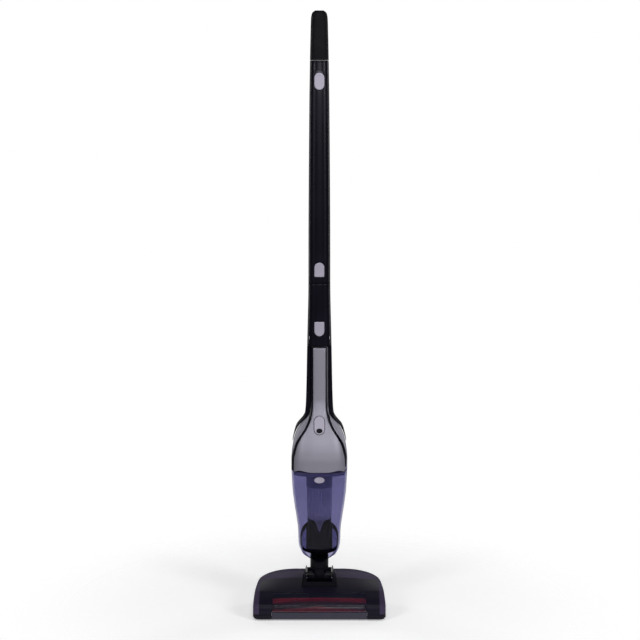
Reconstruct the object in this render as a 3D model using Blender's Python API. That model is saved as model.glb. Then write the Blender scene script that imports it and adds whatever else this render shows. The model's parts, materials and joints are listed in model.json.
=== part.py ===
"""Cordless stick vacuum cleaner with a hand-held unit docked in its upright frame.

Lengths are laid out in millimetres from the floor point below the tilt pivot, with +Z up, the front
facing -Y and X = 0 as the plane of symmetry. A stored piece is in metres, and its origin is moved to
the centre of the head's footprint.
"""

import math

import bmesh
import bpy
from mathutils import Matrix, Vector

MM = 0.001
GAP = 0.3  # clearance between pieces that touch
WALL = 2.2  # moulded wall thickness

# Floor head.
PIVOT_Z = 62.0
HEAD_FRONT = -82.0
HEAD_REAR = 49.0
BASE_BOTTOM = 3.0
BASE_TOP = 12.0
WINDOW_HALF = 85.0
WINDOW_REAR = -46.0
WINDOW_BOTTOM = 16.0
BRUSH_Y = -50.0
BRUSH_Z = 18.5
BRUSH_HALF = 87.0
CORE_R = 8.5
BRISTLE_R = 15.0
BRUSH_PULLEY_R = 8.0
MOTOR_PULLEY_R = 5.0
BELT_X = (-94.0, -89.0)
BELT_THICK = 1.4
BRUSH_MOTOR_Y = -8.0
BRUSH_MOTOR_Z = 27.0
REAR_WHEEL = {"x": 76.0, "y": 24.0, "r": 15.0, "width": 12.0}
FRONT_ROLLER = {"x": 107.5, "y": -58.0, "r": 7.0, "width": 8.0}
CHANNEL_HALF = 23.6
HOUSING_BOTTOM = 38.0
YOKE_HALF = 23.0
YOKE_R = 14.5
PIN_R = 5.0

# Neck, frame and handle.
NECK_R = 17.0
NECK_BOTTOM = 80.4
DUCT_R = 9.5
SPIGOT_R = 12.0
DOCK_Y = 8.2  # rear plane of the docked hand-held unit
STEM_TOP = 612.0
GRIP_START = 1012.0
COVER_INSET = 3.3  # side seam behind the silhouette of the stick
SPIGOT_BOTTOM = 550.0

# Hand-held unit and dust cup.
CUP_BOTTOM = 97.6
TRIM = 3.6
BUTTON_W = 18.0
MOTOR_Y = -24.0
FILTER_Y = -26.0
SIDES = ((-1, "left"), (1, "right"))

# Height, half width, front and back of each outline, bottom to top.
STICK = (
    (498, 22.3, -21.5, 22.0), (520, 21.8, -21.0, 20.0), (612, 19.9, -20.0, 18.0),
    (700, 19.7, -19.5, 18.0),
    (900, 18.3, -18.5, 17.5), (950, 17.8, -17.5, 18.0), (980, 17.3, -15.0, 19.8), (1012, 16.8, -11.0, 23.0),
    (1060, 15.8, -2.5, 30.0), (1086, 15.0, 3.5, 35.0), (1096, 12.8, 8.0, 34.0), (1100, 8.0, 13.0, 30.0),
)
SPINE = (
    (122, 21.5, 0, 33.0), (160, 22.5, 0, 36.0), (400, 22.5, 0, 36.0), (450, 22.0, 0, 31.0),
    (498, 22.0, 0, 22.5),
)
BODY = (
    (272, 51.2, -60.0, 7.6), (290, 51.2, -60.0, 7.6), (305, 50.3, -58.5, 7.6), (320, 48.2, -55.5, 7.6),
    (335, 44.6, -50.5, 7.6), (350, 37.2, -43.0, 7.6), (358, 30.0, -38.5, 7.6), (366, 22.0, -34.0, 7.6),
    (372, 18.5, -31.0, 7.6), (385, 16.4, -27.0, 7.6), (400, 16.0, -24.5, 7.6), (498, 15.6, -22.0, 6.6),
)
PANEL = (
    (272, 47.5), (293, 47.2), (305, 44.8), (320, 40.7), (335, 32.7), (350, 22.7), (366, 15.7), (385, 12.6),
    (400, 12.2), (498, 12.2),
)
PARTING = ((272, -26.0), (335, -24.0), (372, -12.0), (385, -8.0), (498, -8.0))
CUP = (
    (97.6, 17.5, -21.0, 4.0), (110, 32.0, -32.0, 7.6), (131, 38.3, -42.0, 7.6), (157, 39.2, -46.0, 7.6),
    (183, 42.3, -50.0, 7.6), (205, 45.5, -54.0, 7.6), (235, 49.0, -58.0, 7.6), (272, 51.0, -60.0, 7.6),
)
RAIL_OUTER = (
    (22.3, 497.6), (24.5, 400), (26.4, 372), (29.5, 365), (35.5, 357.5), (41.5, 350), (46.5, 335),
    (49.4, 320), (49.9, 315),
)
# Position along Y, half width and height of the head's sections, front to rear.
HEAD = (
    (HEAD_FRONT, 113.0, 19.0), (-80.5, 118.5, 25.0), (-76, 121.5, 30.0), (-46, 120.5, 41.5),
    (0, 117.0, 52.5), (25, 112.5, 57.0), (36, 105.0, 58.0), (43, 92.0, 59.0), (47, 72.0, 59.5),
    (HEAD_REAR, 50.0, 59.0),
)

TO_FOOTPRINT_CENTRE = Vector((0.0, -(HEAD_FRONT + HEAD_REAR) / 2, 0.0))

FINISHES = {  # colour, roughness, metallic, alpha
    "gloss_black": ((0.012, 0.011, 0.016), 0.18, 0.0, 1.0),
    "soft_black": ((0.016, 0.016, 0.018), 0.65, 0.0, 1.0),
    "dark_grey": ((0.045, 0.042, 0.055), 0.4, 0.0, 1.0),
    "silver": ((0.26, 0.25, 0.31), 0.35, 0.5, 1.0),
    "button": ((0.35, 0.33, 0.42), 0.45, 0.0, 1.0),
    "smoke": ((0.09, 0.09, 0.2), 0.08, 0.0, 0.45),
    "red": ((0.35, 0.012, 0.02), 0.5, 0.0, 1.0),
    "rubber": ((0.02, 0.02, 0.02), 0.8, 0.0, 1.0),
    "steel": ((0.5, 0.5, 0.52), 0.3, 1.0, 1.0),
    "copper": ((0.55, 0.25, 0.12), 0.35, 1.0, 1.0),
    "filter_cloth": ((0.6, 0.6, 0.62), 0.9, 0.0, 1.0),
    "cell_wrap": ((0.05, 0.12, 0.3), 0.35, 0.0, 1.0),
    "board": ((0.02, 0.16, 0.06), 0.45, 0.0, 1.0),
}


# ---------------------------------------------------------------------------------------------------
# Tools
# ---------------------------------------------------------------------------------------------------


def clear_scene():
    """Removes whatever the file holds."""
    for obj in list(bpy.data.objects):
        bpy.data.objects.remove(obj, do_unlink=True)


def dress(obj, finish):
    """Gives the object a material of its own."""
    colour, roughness, metallic, alpha = FINISHES[finish]
    material = bpy.data.materials.new(f"{obj.name}_{finish}")
    material.use_nodes = True
    shader = material.node_tree.nodes["Principled BSDF"]
    shader.inputs["Base Color"].default_value = (*colour, 1.0)
    shader.inputs["Roughness"].default_value = roughness
    shader.inputs["Metallic"].default_value = metallic
    shader.inputs["Alpha"].default_value = alpha
    obj.data.materials.append(material)


def store(name, mesh_work, finish=None, pivot=(0.0, 0.0, 0.0)):
    """Turns a working mesh in millimetres into an object whose origin is at the pivot."""
    bmesh.ops.recalc_face_normals(mesh_work, faces=mesh_work.faces[:])
    bmesh.ops.translate(mesh_work, verts=mesh_work.verts[:], vec=-Vector(pivot))
    bmesh.ops.scale(mesh_work, verts=mesh_work.verts[:], vec=(MM, MM, MM))
    mesh = bpy.data.meshes.new(name)
    mesh_work.to_mesh(mesh)
    mesh_work.free()
    mesh.shade_smooth()
    mesh.set_sharp_from_angle(angle=math.radians(35))
    obj = bpy.data.objects.new(name, mesh)
    obj.location = (Vector(pivot) + TO_FOOTPRINT_CENTRE) * MM
    bpy.context.scene.collection.objects.link(obj)
    if finish:
        dress(obj, finish)
    else:
        obj.hide_render = True
        obj.display_type = "WIRE"
    return obj


def use(target, tool, operation):
    """Adds a Boolean to the target and hides the tool."""
    tool.hide_render = True
    tool.display_type = "WIRE"
    modifier = target.modifiers.new(f"{operation.lower()} {tool.name}", "BOOLEAN")
    modifier.operation = operation
    modifier.object = tool
    return target


def cut(target, *tools):
    for tool in tools:
        use(target, tool, "DIFFERENCE")
    return target


def keep(target, tool):
    return use(target, tool, "INTERSECT")


def join(target, tool):
    return use(target, tool, "UNION")


def loft_rings(rings):
    """A closed solid through rings of equally many points, drawn out from the first ring's face."""
    work = bmesh.new()
    verts = [work.verts.new(point) for point in rings[0]]
    face = work.faces.new(verts)
    for ring in rings[1:]:
        places = {tuple(vert.co): index for index, vert in enumerate(verts)}
        drawn = bmesh.ops.extrude_face_region(work, geom=[face])["geom"]
        if ring is not rings[1]:
            work.faces.remove(face)
        face = next(item for item in drawn if isinstance(item, bmesh.types.BMFace))
        verts = sorted(face.verts, key=lambda vert: places[tuple(vert.co)])
        for vert, point in zip(verts, ring):
            vert.co = point
    return work


def oval(half_x, front, back, power, count):
    """Points of a rounded oblong in plan, from two half widths and a corner power."""
    centre, half_y = (front + back) / 2, (back - front) / 2
    points = []
    for step in range(count):
        angle = 2 * math.pi * (step + 0.5) / count
        c, s = math.cos(angle), math.sin(angle)
        points.append((
            half_x * math.copysign(abs(c) ** (2 / power), c),
            centre + half_y * math.copysign(abs(s) ** (2 / power), s),
        ))
    return points


def at(rows, height):
    """The values of an outline at a height, between its rows."""
    for low, high in zip(rows, rows[1:]):
        if height <= high[0]:
            part = max(0.0, (height - low[0]) / (high[0] - low[0]))
            return [a + (b - a) * part for a, b in zip(low[1:], high[1:])]
    return list(rows[-1][1:])


def column(name, rows, stops, finish=None, power=2.6, count=24, pivot=(0.0, 0.0, 0.0)):
    """A solid that follows an outline. Each stop is a height and how much the outline grows there."""
    rings = []
    for height, grow in stops:
        half, front, back = at(rows, height)
        plan = oval(half + grow, front - grow, back + grow, power, count)
        rings.append([(x, y, height) for x, y in plan])
    return store(name, loft_rings(rings), finish, pivot)


def block(name, low, high, finish=None, pivot=(0.0, 0.0, 0.0), turn=None):
    """A box between two corners, turned about its centre when a matrix is given."""
    work = bmesh.new()
    bmesh.ops.create_cube(work, size=1.0)
    size = Vector(high) - Vector(low)
    bmesh.ops.scale(work, verts=work.verts[:], vec=size)
    if turn:
        bmesh.ops.transform(work, matrix=turn, verts=work.verts[:])
    bmesh.ops.translate(work, verts=work.verts[:], vec=(Vector(low) + Vector(high)) / 2)
    return store(name, work, finish, pivot)


def slab(name, rows, finish=None):
    """A solid of rectangular sections: each row is a height, a half width, a front and a back."""
    corners = ((1, True), (-1, True), (-1, False), (1, False))
    rings = [
        [(side * half, back if rear else front, height) for side, rear in corners]
        for height, half, front, back in rows
    ]
    return store(name, loft_rings(rings), finish)


def plate(name, outline, front, back, finish=None, pivot=(0.0, 0.0, 0.0)):
    """A front-view outline of X and Z, drawn out along Y."""
    rings = [[(x, y, z) for x, z in outline] for y in (front, back)]
    return store(name, loft_rings(rings), finish, pivot)


def rod(name, start, end, radius, finish=None, count=20, pivot=(0.0, 0.0, 0.0)):
    """A cylinder between two points."""
    start, end = Vector(start), Vector(end)
    work = bmesh.new()
    bmesh.ops.create_cone(
        work, cap_ends=True, segments=count, radius1=radius, radius2=radius, depth=(end - start).length
    )
    turn = (end - start).to_track_quat("Z", "Y").to_matrix().to_4x4()
    bmesh.ops.transform(work, matrix=Matrix.Translation((start + end) / 2) @ turn, verts=work.verts[:])
    return store(name, work, finish, pivot)


def turned(name, profile, centre, axis, finish=None, count=24, closed=False, pivot=(0.0, 0.0, 0.0)):
    """A turned piece. The profile holds radius and distance along the axis; a closed one leaves a bore."""
    work = bmesh.new()
    verts = [work.verts.new((radius, 0.0, along)) for radius, along in profile]
    ends = list(zip(verts, verts[1:])) + ([(verts[-1], verts[0])] if closed else [])
    edges = [work.edges.new(pair) for pair in ends]
    bmesh.ops.spin(
        work, geom=verts + edges, cent=(0, 0, 0), axis=(0, 0, 1), angle=2 * math.pi, steps=count,
        use_merge=True,
    )
    bmesh.ops.remove_doubles(work, verts=work.verts[:], dist=1e-5)
    turn = Vector(axis).to_track_quat("Z", "Y").to_matrix().to_4x4()
    bmesh.ops.transform(work, matrix=Matrix.Translation(Vector(centre)) @ turn, verts=work.verts[:])
    return store(name, work, finish, pivot)


def wire(name, points, radius, finish):
    """A cable through a list of points."""
    curve = bpy.data.curves.new(name, "CURVE")
    curve.dimensions = "3D"
    curve.bevel_depth = radius * MM
    curve.bevel_resolution = 1
    curve.use_fill_caps = True
    spline = curve.splines.new("POLY")
    spline.points.add(len(points) - 1)
    for point, place in zip(spline.points, points):
        point.co = (*((Vector(place) + TO_FOOTPRINT_CENTRE) * MM), 1.0)
    obj = bpy.data.objects.new(name, curve)
    bpy.context.scene.collection.objects.link(obj)
    dress(obj, finish)
    return obj


def pill(half_width, bottom, top, round_top=True, round_bottom=True, steps=6):
    """A front-view outline with straight sides and round or flat ends."""
    points = []
    ends = ((top, 0.0, round_top), (bottom, math.pi, round_bottom))
    for height, start, rounded in ends:
        sign = 1 if start == 0.0 else -1
        if not rounded:
            points += [(sign * half_width, height), (-sign * half_width, height)]
            continue
        centre = height - sign * half_width
        for step in range(steps + 1):
            angle = start + math.pi * step / steps
            points.append((half_width * math.cos(angle), centre + half_width * math.sin(angle)))
    return points


def ellipse(height, half_width, half_height, steps=16):
    """A front-view oval outline about a height on the centre line."""
    angles = [2 * math.pi * step / steps for step in range(steps)]
    return [(half_width * math.cos(angle), height + half_height * math.sin(angle)) for angle in angles]


def grown(outline, by):
    """A round-ended outline moved outwards from its centre by about a clearance."""
    middle = sum((Vector((x, 0, z)) for x, z in outline), Vector()) / len(outline)
    moved = []
    for x, z in outline:
        offset = Vector((x, 0, z)) - middle
        moved.append((x + math.copysign(by, offset.x), z + math.copysign(by, offset.z)))
    return moved


# ---------------------------------------------------------------------------------------------------
# Floor head
# ---------------------------------------------------------------------------------------------------


def head_solid(name, inset=0.0, bottom=BASE_BOTTOM, finish=None):
    """The head's outer form, or the same form set inwards: upright sections from front to rear."""
    rings = []
    last = len(HEAD) - 1
    for index, (y, half, height) in enumerate(HEAD):
        y += inset if index == 0 else -inset if index == last else inset * (0.6 if y < -70 else 0.0)
        side, top, corner = half - inset, height - inset, 6.0
        lean = 0.06 * (top - bottom)
        section = [(side - 3.0, bottom), (side, bottom + 3.5), (side - lean, top - corner)]
        for step in (1, 2, 3):
            angle = math.pi / 2 * step / 3
            inward, drop = corner * (1 - math.cos(angle)), corner * (1 - math.sin(angle))
            section.append((side - lean - inward, top - drop))
        rings.append([(x, y, z) for x, z in section] + [(-x, y, z) for x, z in reversed(section)])
    return store(name, loft_rings(rings), finish)


def build_head():
    """The floor head: cover, window, base, bumper and neck housing, and what they hold."""
    cover = head_solid("head_cover", finish="gloss_black")
    cut(cover, head_solid("cover_hollow", inset=WALL, bottom=-10.0))
    cut(cover, block("cover_floor_cut", (-130, -90, -12), (130, 60, BASE_TOP + GAP)))
    window_low = Vector((-WINDOW_HALF, HEAD_FRONT - 10, WINDOW_BOTTOM))
    window_high = Vector((WINDOW_HALF, WINDOW_REAR, 70))
    around = Vector((GAP, GAP, GAP))
    cut(cover, block("window_opening", window_low - around, window_high + around))
    cut(cover, block("bumper_opening", (-87.3, -90, 0), (87.3, -76.7, WINDOW_BOTTOM + 0.4)))
    cut(cover, plate("housing_opening", [
        (-33.5, 37.5), (33.5, 37.5), (33.5, 44), (25.5, 75), (-25.5, 75), (-33.5, 44),
    ], -26.4, 24.4))
    cut(cover, block("rear_channel", (-CHANNEL_HALF - 1, 20, 40), (CHANNEL_HALF + 1, 60, 80)))

    window = head_solid("brush_window", finish="smoke")
    cut(window, head_solid("window_hollow", inset=WALL, bottom=-10.0))
    keep(window, block("window_region", window_low, window_high))

    base = head_solid("head_base", finish="gloss_black")
    keep(base, block("base_region", (-130, -90, 0), (130, 60, BASE_TOP)))
    hollow = head_solid("base_hollow", inset=3.2, bottom=-10.0)
    cut(base, keep(hollow, block("base_hollow_region", (-130, -90, 5.5), (130, 60, 40))))
    cut(base, block("brush_slot", (-100, -69, 0), (100, -32, 20)))
    for side, hand in SIDES:
        for label, wheel, beside, around in (
            ("rear", REAR_WHEEL, 1.2, 1.5), ("front", FRONT_ROLLER, 0.6, 1.0)
        ):
            x, reach = side * wheel["x"], wheel["width"] / 2 + beside
            low = (x - reach, wheel["y"] - wheel["r"] - around, 0)
            high = (x + reach, wheel["y"] + wheel["r"] + around, 20)
            cut(base, block(f"{label}_well_{hand}", low, high))
    cut(base, block("bumper_seat", (-87.3, -90, 0), (87.3, -76.7, 20)))
    cut(base, block("seal_seat", (-95.3, -28.3, 0), (95.3, -25.7, 4.6)))

    bumper = head_solid("front_bumper", finish="dark_grey")
    keep(bumper, block("bumper_region", (-87, -90, 0), (87, -77, WINDOW_BOTTOM - GAP)))

    housing = plate("neck_housing", [
        (-33, HOUSING_BOTTOM), (33, HOUSING_BOTTOM), (33, 44), (25, 73), (-25, 73), (-33, 44),
    ], -26, 24, "gloss_black")
    cut(housing, block("housing_channel", (-CHANNEL_HALF, -18.2, 43), (CHANNEL_HALF, 60, 90)))
    cut(housing, block("housing_front_low", (-CHANNEL_HALF, -60, 56), (CHANNEL_HALF, 0, 90)))
    cut(housing, rod("housing_air_way", (0, -4, 30), (0, -4, 60), DUCT_R))
    for side, hand in SIDES:
        inner, outer = (side * 20, 0, PIVOT_Z), (side * 26.2, 0, PIVOT_Z)
        cut(housing, rod(f"cheek_bore_{hand}", inner, outer, PIN_R + 0.15))
        rod(f"pivot_pin_{hand}", (side * 18.5, 0, PIVOT_Z), (side * 26.0, 0, PIVOT_Z), PIN_R, "steel")

    block("squeegee_strip", (-95, -28, 0.6), (95, -26, 4.3), "rubber")
    air_way()
    brush_drive()
    wheels()


def air_way():
    """The elbow hose from behind the brush up to the neck: a straight run and a quarter turn."""
    bend, end_y, end_z = 14.0, -4.0, HOUSING_BOTTOM - 2.4
    arc = []
    for step in range(5):
        angle = math.pi / 2 * step / 4
        arc.append((0, end_y - bend + bend * math.sin(angle), end_z - bend * math.cos(angle)))
    start = (0, -31, arc[0][2])
    hose = swept([start, *arc, (0, end_y, end_z + 2)], 11.5, "air_hose", "soft_black")
    cut(hose, swept([(0, -36, arc[0][2]), *arc, (0, end_y, end_z + 5)], DUCT_R, "hose_bore"))


def swept(path, radius, name, finish=None, count=16):
    """A round bar along a path in the plane X = 0."""
    points = [Vector(point) for point in path]
    rings = []
    for index, point in enumerate(points):
        ahead = points[min(index + 1, len(points) - 1)] - points[max(index - 1, 0)]
        ahead.normalize()
        across = Vector((1, 0, 0))
        up = across.cross(ahead)
        rings.append([
            point + radius * (math.cos(angle) * across + math.sin(angle) * up)
            for angle in (2 * math.pi * step / count for step in range(count))
        ])
    return store(name, loft_rings(rings), finish)


def brush_drive():
    """The brush roll with its chevron fins and bearings, and the motor beside the air way."""
    centre = (0, BRUSH_Y, BRUSH_Z)
    ends = ((0.0, -101.0), (3.0, -101.0), (3.0, -94.5), (BRUSH_PULLEY_R, -94.5), (BRUSH_PULLEY_R, -88.5),
            (CORE_R, -88.5), (CORE_R, 94.5), (3.0, 94.5), (3.0, 101.0), (0.0, 101.0))
    turned("brush_core", ends, centre, (1, 0, 0), "red", 16, pivot=centre)

    lobes, stations, middle, lead = 3, 10, 3.33, 0.87
    fin = ((-0.42, 10.2), (-0.34, BRISTLE_R), (0.0, BRISTLE_R), (0.34, BRISTLE_R), (0.42, 10.2))
    rings = []
    for station in range(stations + 1):
        x = -BRUSH_HALF + 2 * BRUSH_HALF * station / stations
        twist = middle + lead * abs(2 * station / stations - 1)
        ring = []
        for lobe in range(lobes):
            for offset, reach in (*fin, (math.pi / lobes, 10.2)):
                angle = twist + 2 * math.pi * lobe / lobes + offset
                ring.append((x, BRUSH_Y + reach * math.cos(angle), BRUSH_Z + reach * math.sin(angle)))
        rings.append(ring)
    bristles = store("brush_bristles", loft_rings(rings), "red", centre)
    bore_ends = [(side * (BRUSH_HALF + 5), BRUSH_Y, BRUSH_Z) for side in (-1, 1)]
    cut(bristles, rod("bristle_bore", *bore_ends, CORE_R + GAP, count=16))

    bearing = ((3.15, 95.0), (7.5, 95.0), (7.5, 99.5), (3.15, 99.5))
    for side, hand in SIDES:
        turned(f"brush_bearing_{hand}", bearing, centre, (side, 0, 0), "steel", 16, True)

    motor_centre = (0, BRUSH_MOTOR_Y, BRUSH_MOTOR_Z)
    can = ((2.2, -82), (12.5, -82), (12.5, -38), (2.2, -38))
    turned("brush_motor", can, motor_centre, (1, 0, 0), "steel", 16, True)
    rotor = ((0, -96), (MOTOR_PULLEY_R, -96), (MOTOR_PULLEY_R, -84), (2.0, -84), (2.0, -40), (0, -40))
    turned("brush_motor_pulley", rotor, motor_centre, (1, 0, 0), "steel", 16, pivot=motor_centre)
    drive_belt()


def drive_belt():
    """The flat belt around both pulleys: two arcs and the straight runs between them."""
    small = Vector((BRUSH_MOTOR_Y, BRUSH_MOTOR_Z))
    large = Vector((BRUSH_Y, BRUSH_Z))
    heading = math.atan2(*(small - large).yx)
    loops = []
    for extra in (GAP, GAP + BELT_THICK):
        r_small, r_large = MOTOR_PULLEY_R + extra, BRUSH_PULLEY_R + extra
        spread = math.acos((r_large - r_small) / (small - large).length)
        loop = []
        for centre, radius, start, end in (
            (small, r_small, -spread, spread), (large, r_large, spread, 2 * math.pi - spread)
        ):
            for step in range(9):
                angle = heading + start + (end - start) * step / 8
                loop.append(centre + radius * Vector((math.cos(angle), math.sin(angle))))
        loops.append(loop)
    low, high = BELT_X
    solids = []
    for name, finish, loop, extra in (
        ("belt_inside", None, loops[0], 2.0), ("drive_belt", "rubber", loops[1], 0.0)
    ):
        rings = [[(x, point.x, point.y) for point in loop] for x in (low - extra, high + extra)]
        solids.append(store(name, loft_rings(rings), finish))
    cut(solids[1], solids[0])


def wheels():
    """The rear wheels on their axles and the front rollers with stub ends."""
    for side, hand in SIDES:
        y, r, end = REAR_WHEEL["y"], REAR_WHEEL["r"], REAR_WHEEL["width"] / 2
        place = (side * REAR_WHEEL["x"], y, r)
        tread = ((3.15, -end), (r - 1, -end), (r, 1 - end), (r, end - 1), (r - 1, end), (3.15, end))
        turned(f"rear_wheel_{hand}", tread, place, (1, 0, 0), "soft_black", 20, True, pivot=place)
        reach = end + 4.5
        rod(f"rear_axle_{hand}", (place[0] - reach, y, r), (place[0] + reach, y, r), 3.0, "steel", 12)

        r, end = FRONT_ROLLER["r"], FRONT_ROLLER["width"] / 2
        place = (side * FRONT_ROLLER["x"], FRONT_ROLLER["y"], r)
        half_roller = ((2.0, end + 0.4), (2.0, end), (r, end))
        roller = [(0, -end - 0.4), *((radius, -along) for radius, along in half_roller)]
        roller += [*reversed(half_roller), (0, end + 0.4)]
        turned(f"front_roller_{hand}", roller, place, (1, 0, 0), "soft_black", 16, pivot=place)


# ---------------------------------------------------------------------------------------------------
# Neck, frame and handle
# ---------------------------------------------------------------------------------------------------


def build_yoke():
    """The tilting neck piece: a barrel on the pivot pins and a socket for the frame's swivel."""
    pivot = (0, 0, PIVOT_Z)
    ends = (0, 0, PIVOT_Z - 2), (0, 0, NECK_BOTTOM - GAP)
    yoke = rod("neck_yoke", *ends, NECK_R, "gloss_black", 24, pivot)
    join(yoke, rod("yoke_barrel", (-YOKE_HALF, 0, PIVOT_Z), (YOKE_HALF, 0, PIVOT_Z), YOKE_R, count=24))
    cut(yoke, rod("yoke_socket", (0, 0, 66), (0, 0, 90), SPIGOT_R + 0.25, count=24))
    cut(yoke, rod("yoke_air_way", (0, 0, 30), (0, 0, 70), DUCT_R, count=24))
    for side, hand in SIDES:
        inner, outer = (side * 18, 0, PIVOT_Z), (side * 30, 0, PIVOT_Z)
        cut(yoke, rod(f"yoke_bore_{hand}", inner, outer, PIN_R + 0.25, count=24))


def dock_slope(name, offset):
    """A block above the sloping plane on which the nozzle of the hand-held unit rests."""
    turn = Matrix.Rotation(math.radians(45), 4, "X")
    size = Vector((120, 120, 60))
    middle = Vector((0, -13.0, CUP_BOTTOM)) + Vector((0, -1, 1)).normalized() * (size.z / 2 + offset)
    return block(name, middle - size / 2, middle + size / 2, turn=turn)


def build_frame():
    """The upright frame: neck, spine, stem, their covers, the dock release and the cradle rails."""
    neck_outline = (
        (NECK_BOTTOM, NECK_R, -NECK_R, NECK_R), (96, NECK_R, -NECK_R, NECK_R), (104, 17.5, -17, 22.0),
        (121.7, 21.0, -17, 32.5),
    )
    neck_stops = [(z, 0) for z in (NECK_BOTTOM, 96, 104, 112, 121.7)]
    neck = column("cradle_neck", neck_outline, neck_stops, "gloss_black", 2.2)
    join(neck, rod("neck_spigot", (0, 0, 67), (0, 0, 90), SPIGOT_R, count=24))
    cut(neck, dock_slope("dock_slope", -GAP - 1.8))
    cut(neck, block("dock_back", (-60, -60, 100), (60, DOCK_Y, 160)))
    cut(neck, rod("neck_air_way", (0, 0, 60), (0, -1, 130), DUCT_R, count=24))

    gasket = dock_ring("dock_gasket", (16.0, 13.4), -GAP - 1.5, -GAP, "rubber")
    cut(gasket, dock_ring("gasket_bore", (11.6, 10.4), -6, 6))

    stem_stops = [(z, 0) for z in (498, 520, 560, STEM_TOP - GAP)]
    stem_inside = [(z, -WALL) for z in (500.5, 520, 560, 630)]
    stem = column("frame_rear_shell", STICK, stem_stops, "gloss_black")
    spine = column("spine_outer", SPINE, [(z, 0) for z in (122, 160, 300, 400, 450, 505)], power=3.2)
    cut(spine, block("spine_front_cut", (-60, -60, 100), (60, DOCK_Y + GAP, 498.0)))
    join(stem, spine)
    cut(stem, column("stem_hollow", STICK, stem_inside))
    spine_inside = [(z, -WALL) for z in (124.5, 160, 300, 400, 450, 512)]
    cut(stem, column("spine_hollow", SPINE, spine_inside, power=3.2))
    cover_rows = [(z, at(STICK, z)[0] - COVER_INSET, -40, -6) for z in (497, 560, 620)]
    cut(stem, slab("stem_cover_opening", cover_rows))
    spine_rows = [(z, at(SPINE, z)[0] - 4.0, -30, DOCK_Y + 4.0) for z in (127, 160, 400, 495.5)]
    cut(stem, slab("spine_cover_opening", spine_rows))
    cut(stem, block("stem_floor_front", (-40, -40, 499.9), (40, -6, 501)))

    cover = column("stem_front_cover", STICK, stem_stops, "gloss_black")
    cut(cover, column("stem_cover_hollow", STICK, stem_inside))
    region = [(z, half - GAP, front, back - GAP) for z, half, front, back in cover_rows]
    keep(cover, slab("stem_cover_region", region))
    spine_cover = [(z, at(SPINE, z)[0] - 4.3, DOCK_Y + GAP, DOCK_Y + 2.5) for z in (127.4, 160, 400, 495)]
    slab("spine_front_cover", spine_cover, "dark_grey")

    press = pill(BUTTON_W / 2, 517, 543, round_top=False)
    cut(cover, plate("release_hole", grown(press, GAP), -40, 0))
    proud = [(z, 0.5) for z in (505, 530, 555)]
    button = column("dock_release_button", STICK, proud, "button", pivot=(0, -21, 530))
    keep(button, plate("release_shape", press, -40, -15.5))
    block("dock_latch", (-5, -15.2, 501), (5, -12.2, 535), "steel")
    spring_strip("dock_latch_spring", 0, -9.4, 524)

    for side, hand in SIDES:
        inner = [(at(BODY, z)[0] + 0.5, z) for z in (322, 335, 350, 358, 366, 372, 385, 400, 497.6)]
        outline = [(side * x, z) for x, z in list(RAIL_OUTER) + inner]
        plate(f"cradle_rail_{hand}", outline, -14, DOCK_Y - 0.1, "gloss_black")

    wire("frame_wire", [
        (8, 14, 131), (9, 22, 180), (9, 24, 300), (8, 22, 400), (6, 16, 470), (5, 14, 500), (5, 10, 520),
        (5, 12, 544),
    ], 1.6, "soft_black")
    for hand, height in (("lower", 180), ("upper", 420)):
        depth = at(SPINE, height)[2]
        rod(f"spine_screw_{hand}", (0, depth - 8, height), (0, depth + 0.2, height), 3.0, "steel", 12)
        through = (0, depth - 14, height), (0, depth + 6, height)
        cut(stem, rod(f"spine_screw_bore_{hand}", *through, 3.3, count=12))


def dock_ring(name, half_sizes, low, high, finish=None):
    """An oval solid standing on the dock's sloping plane, between two distances from it."""
    half_x, half_y = half_sizes
    plan = oval(half_x, -half_y, half_y, 2.4, 20)
    turn = Matrix.Rotation(math.radians(45), 4, "X")
    middle = Vector((0, -13.0, CUP_BOTTOM)) + Vector((0, 1, 1)).normalized() * 14.5
    rings = [[middle + turn @ Vector((x, y, height)) for x, y in plan] for height in (low, high)]
    return store(name, loft_rings(rings), finish)


def spring_strip(name, x, y, z):
    """A bent leaf spring: a strip folded into a shallow U."""
    outline = [(0, 0), (0, 12), (2.2, 12), (2.2, 9.0), (1.6, 9.0), (1.6, 11.4), (0.6, 11.4), (0.6, 0)]
    rings = [[(x + offset, y + a, z - 6 + b) for a, b in outline] for offset in (-3, 3)]
    return store(name, loft_rings(rings), "steel")


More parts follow.
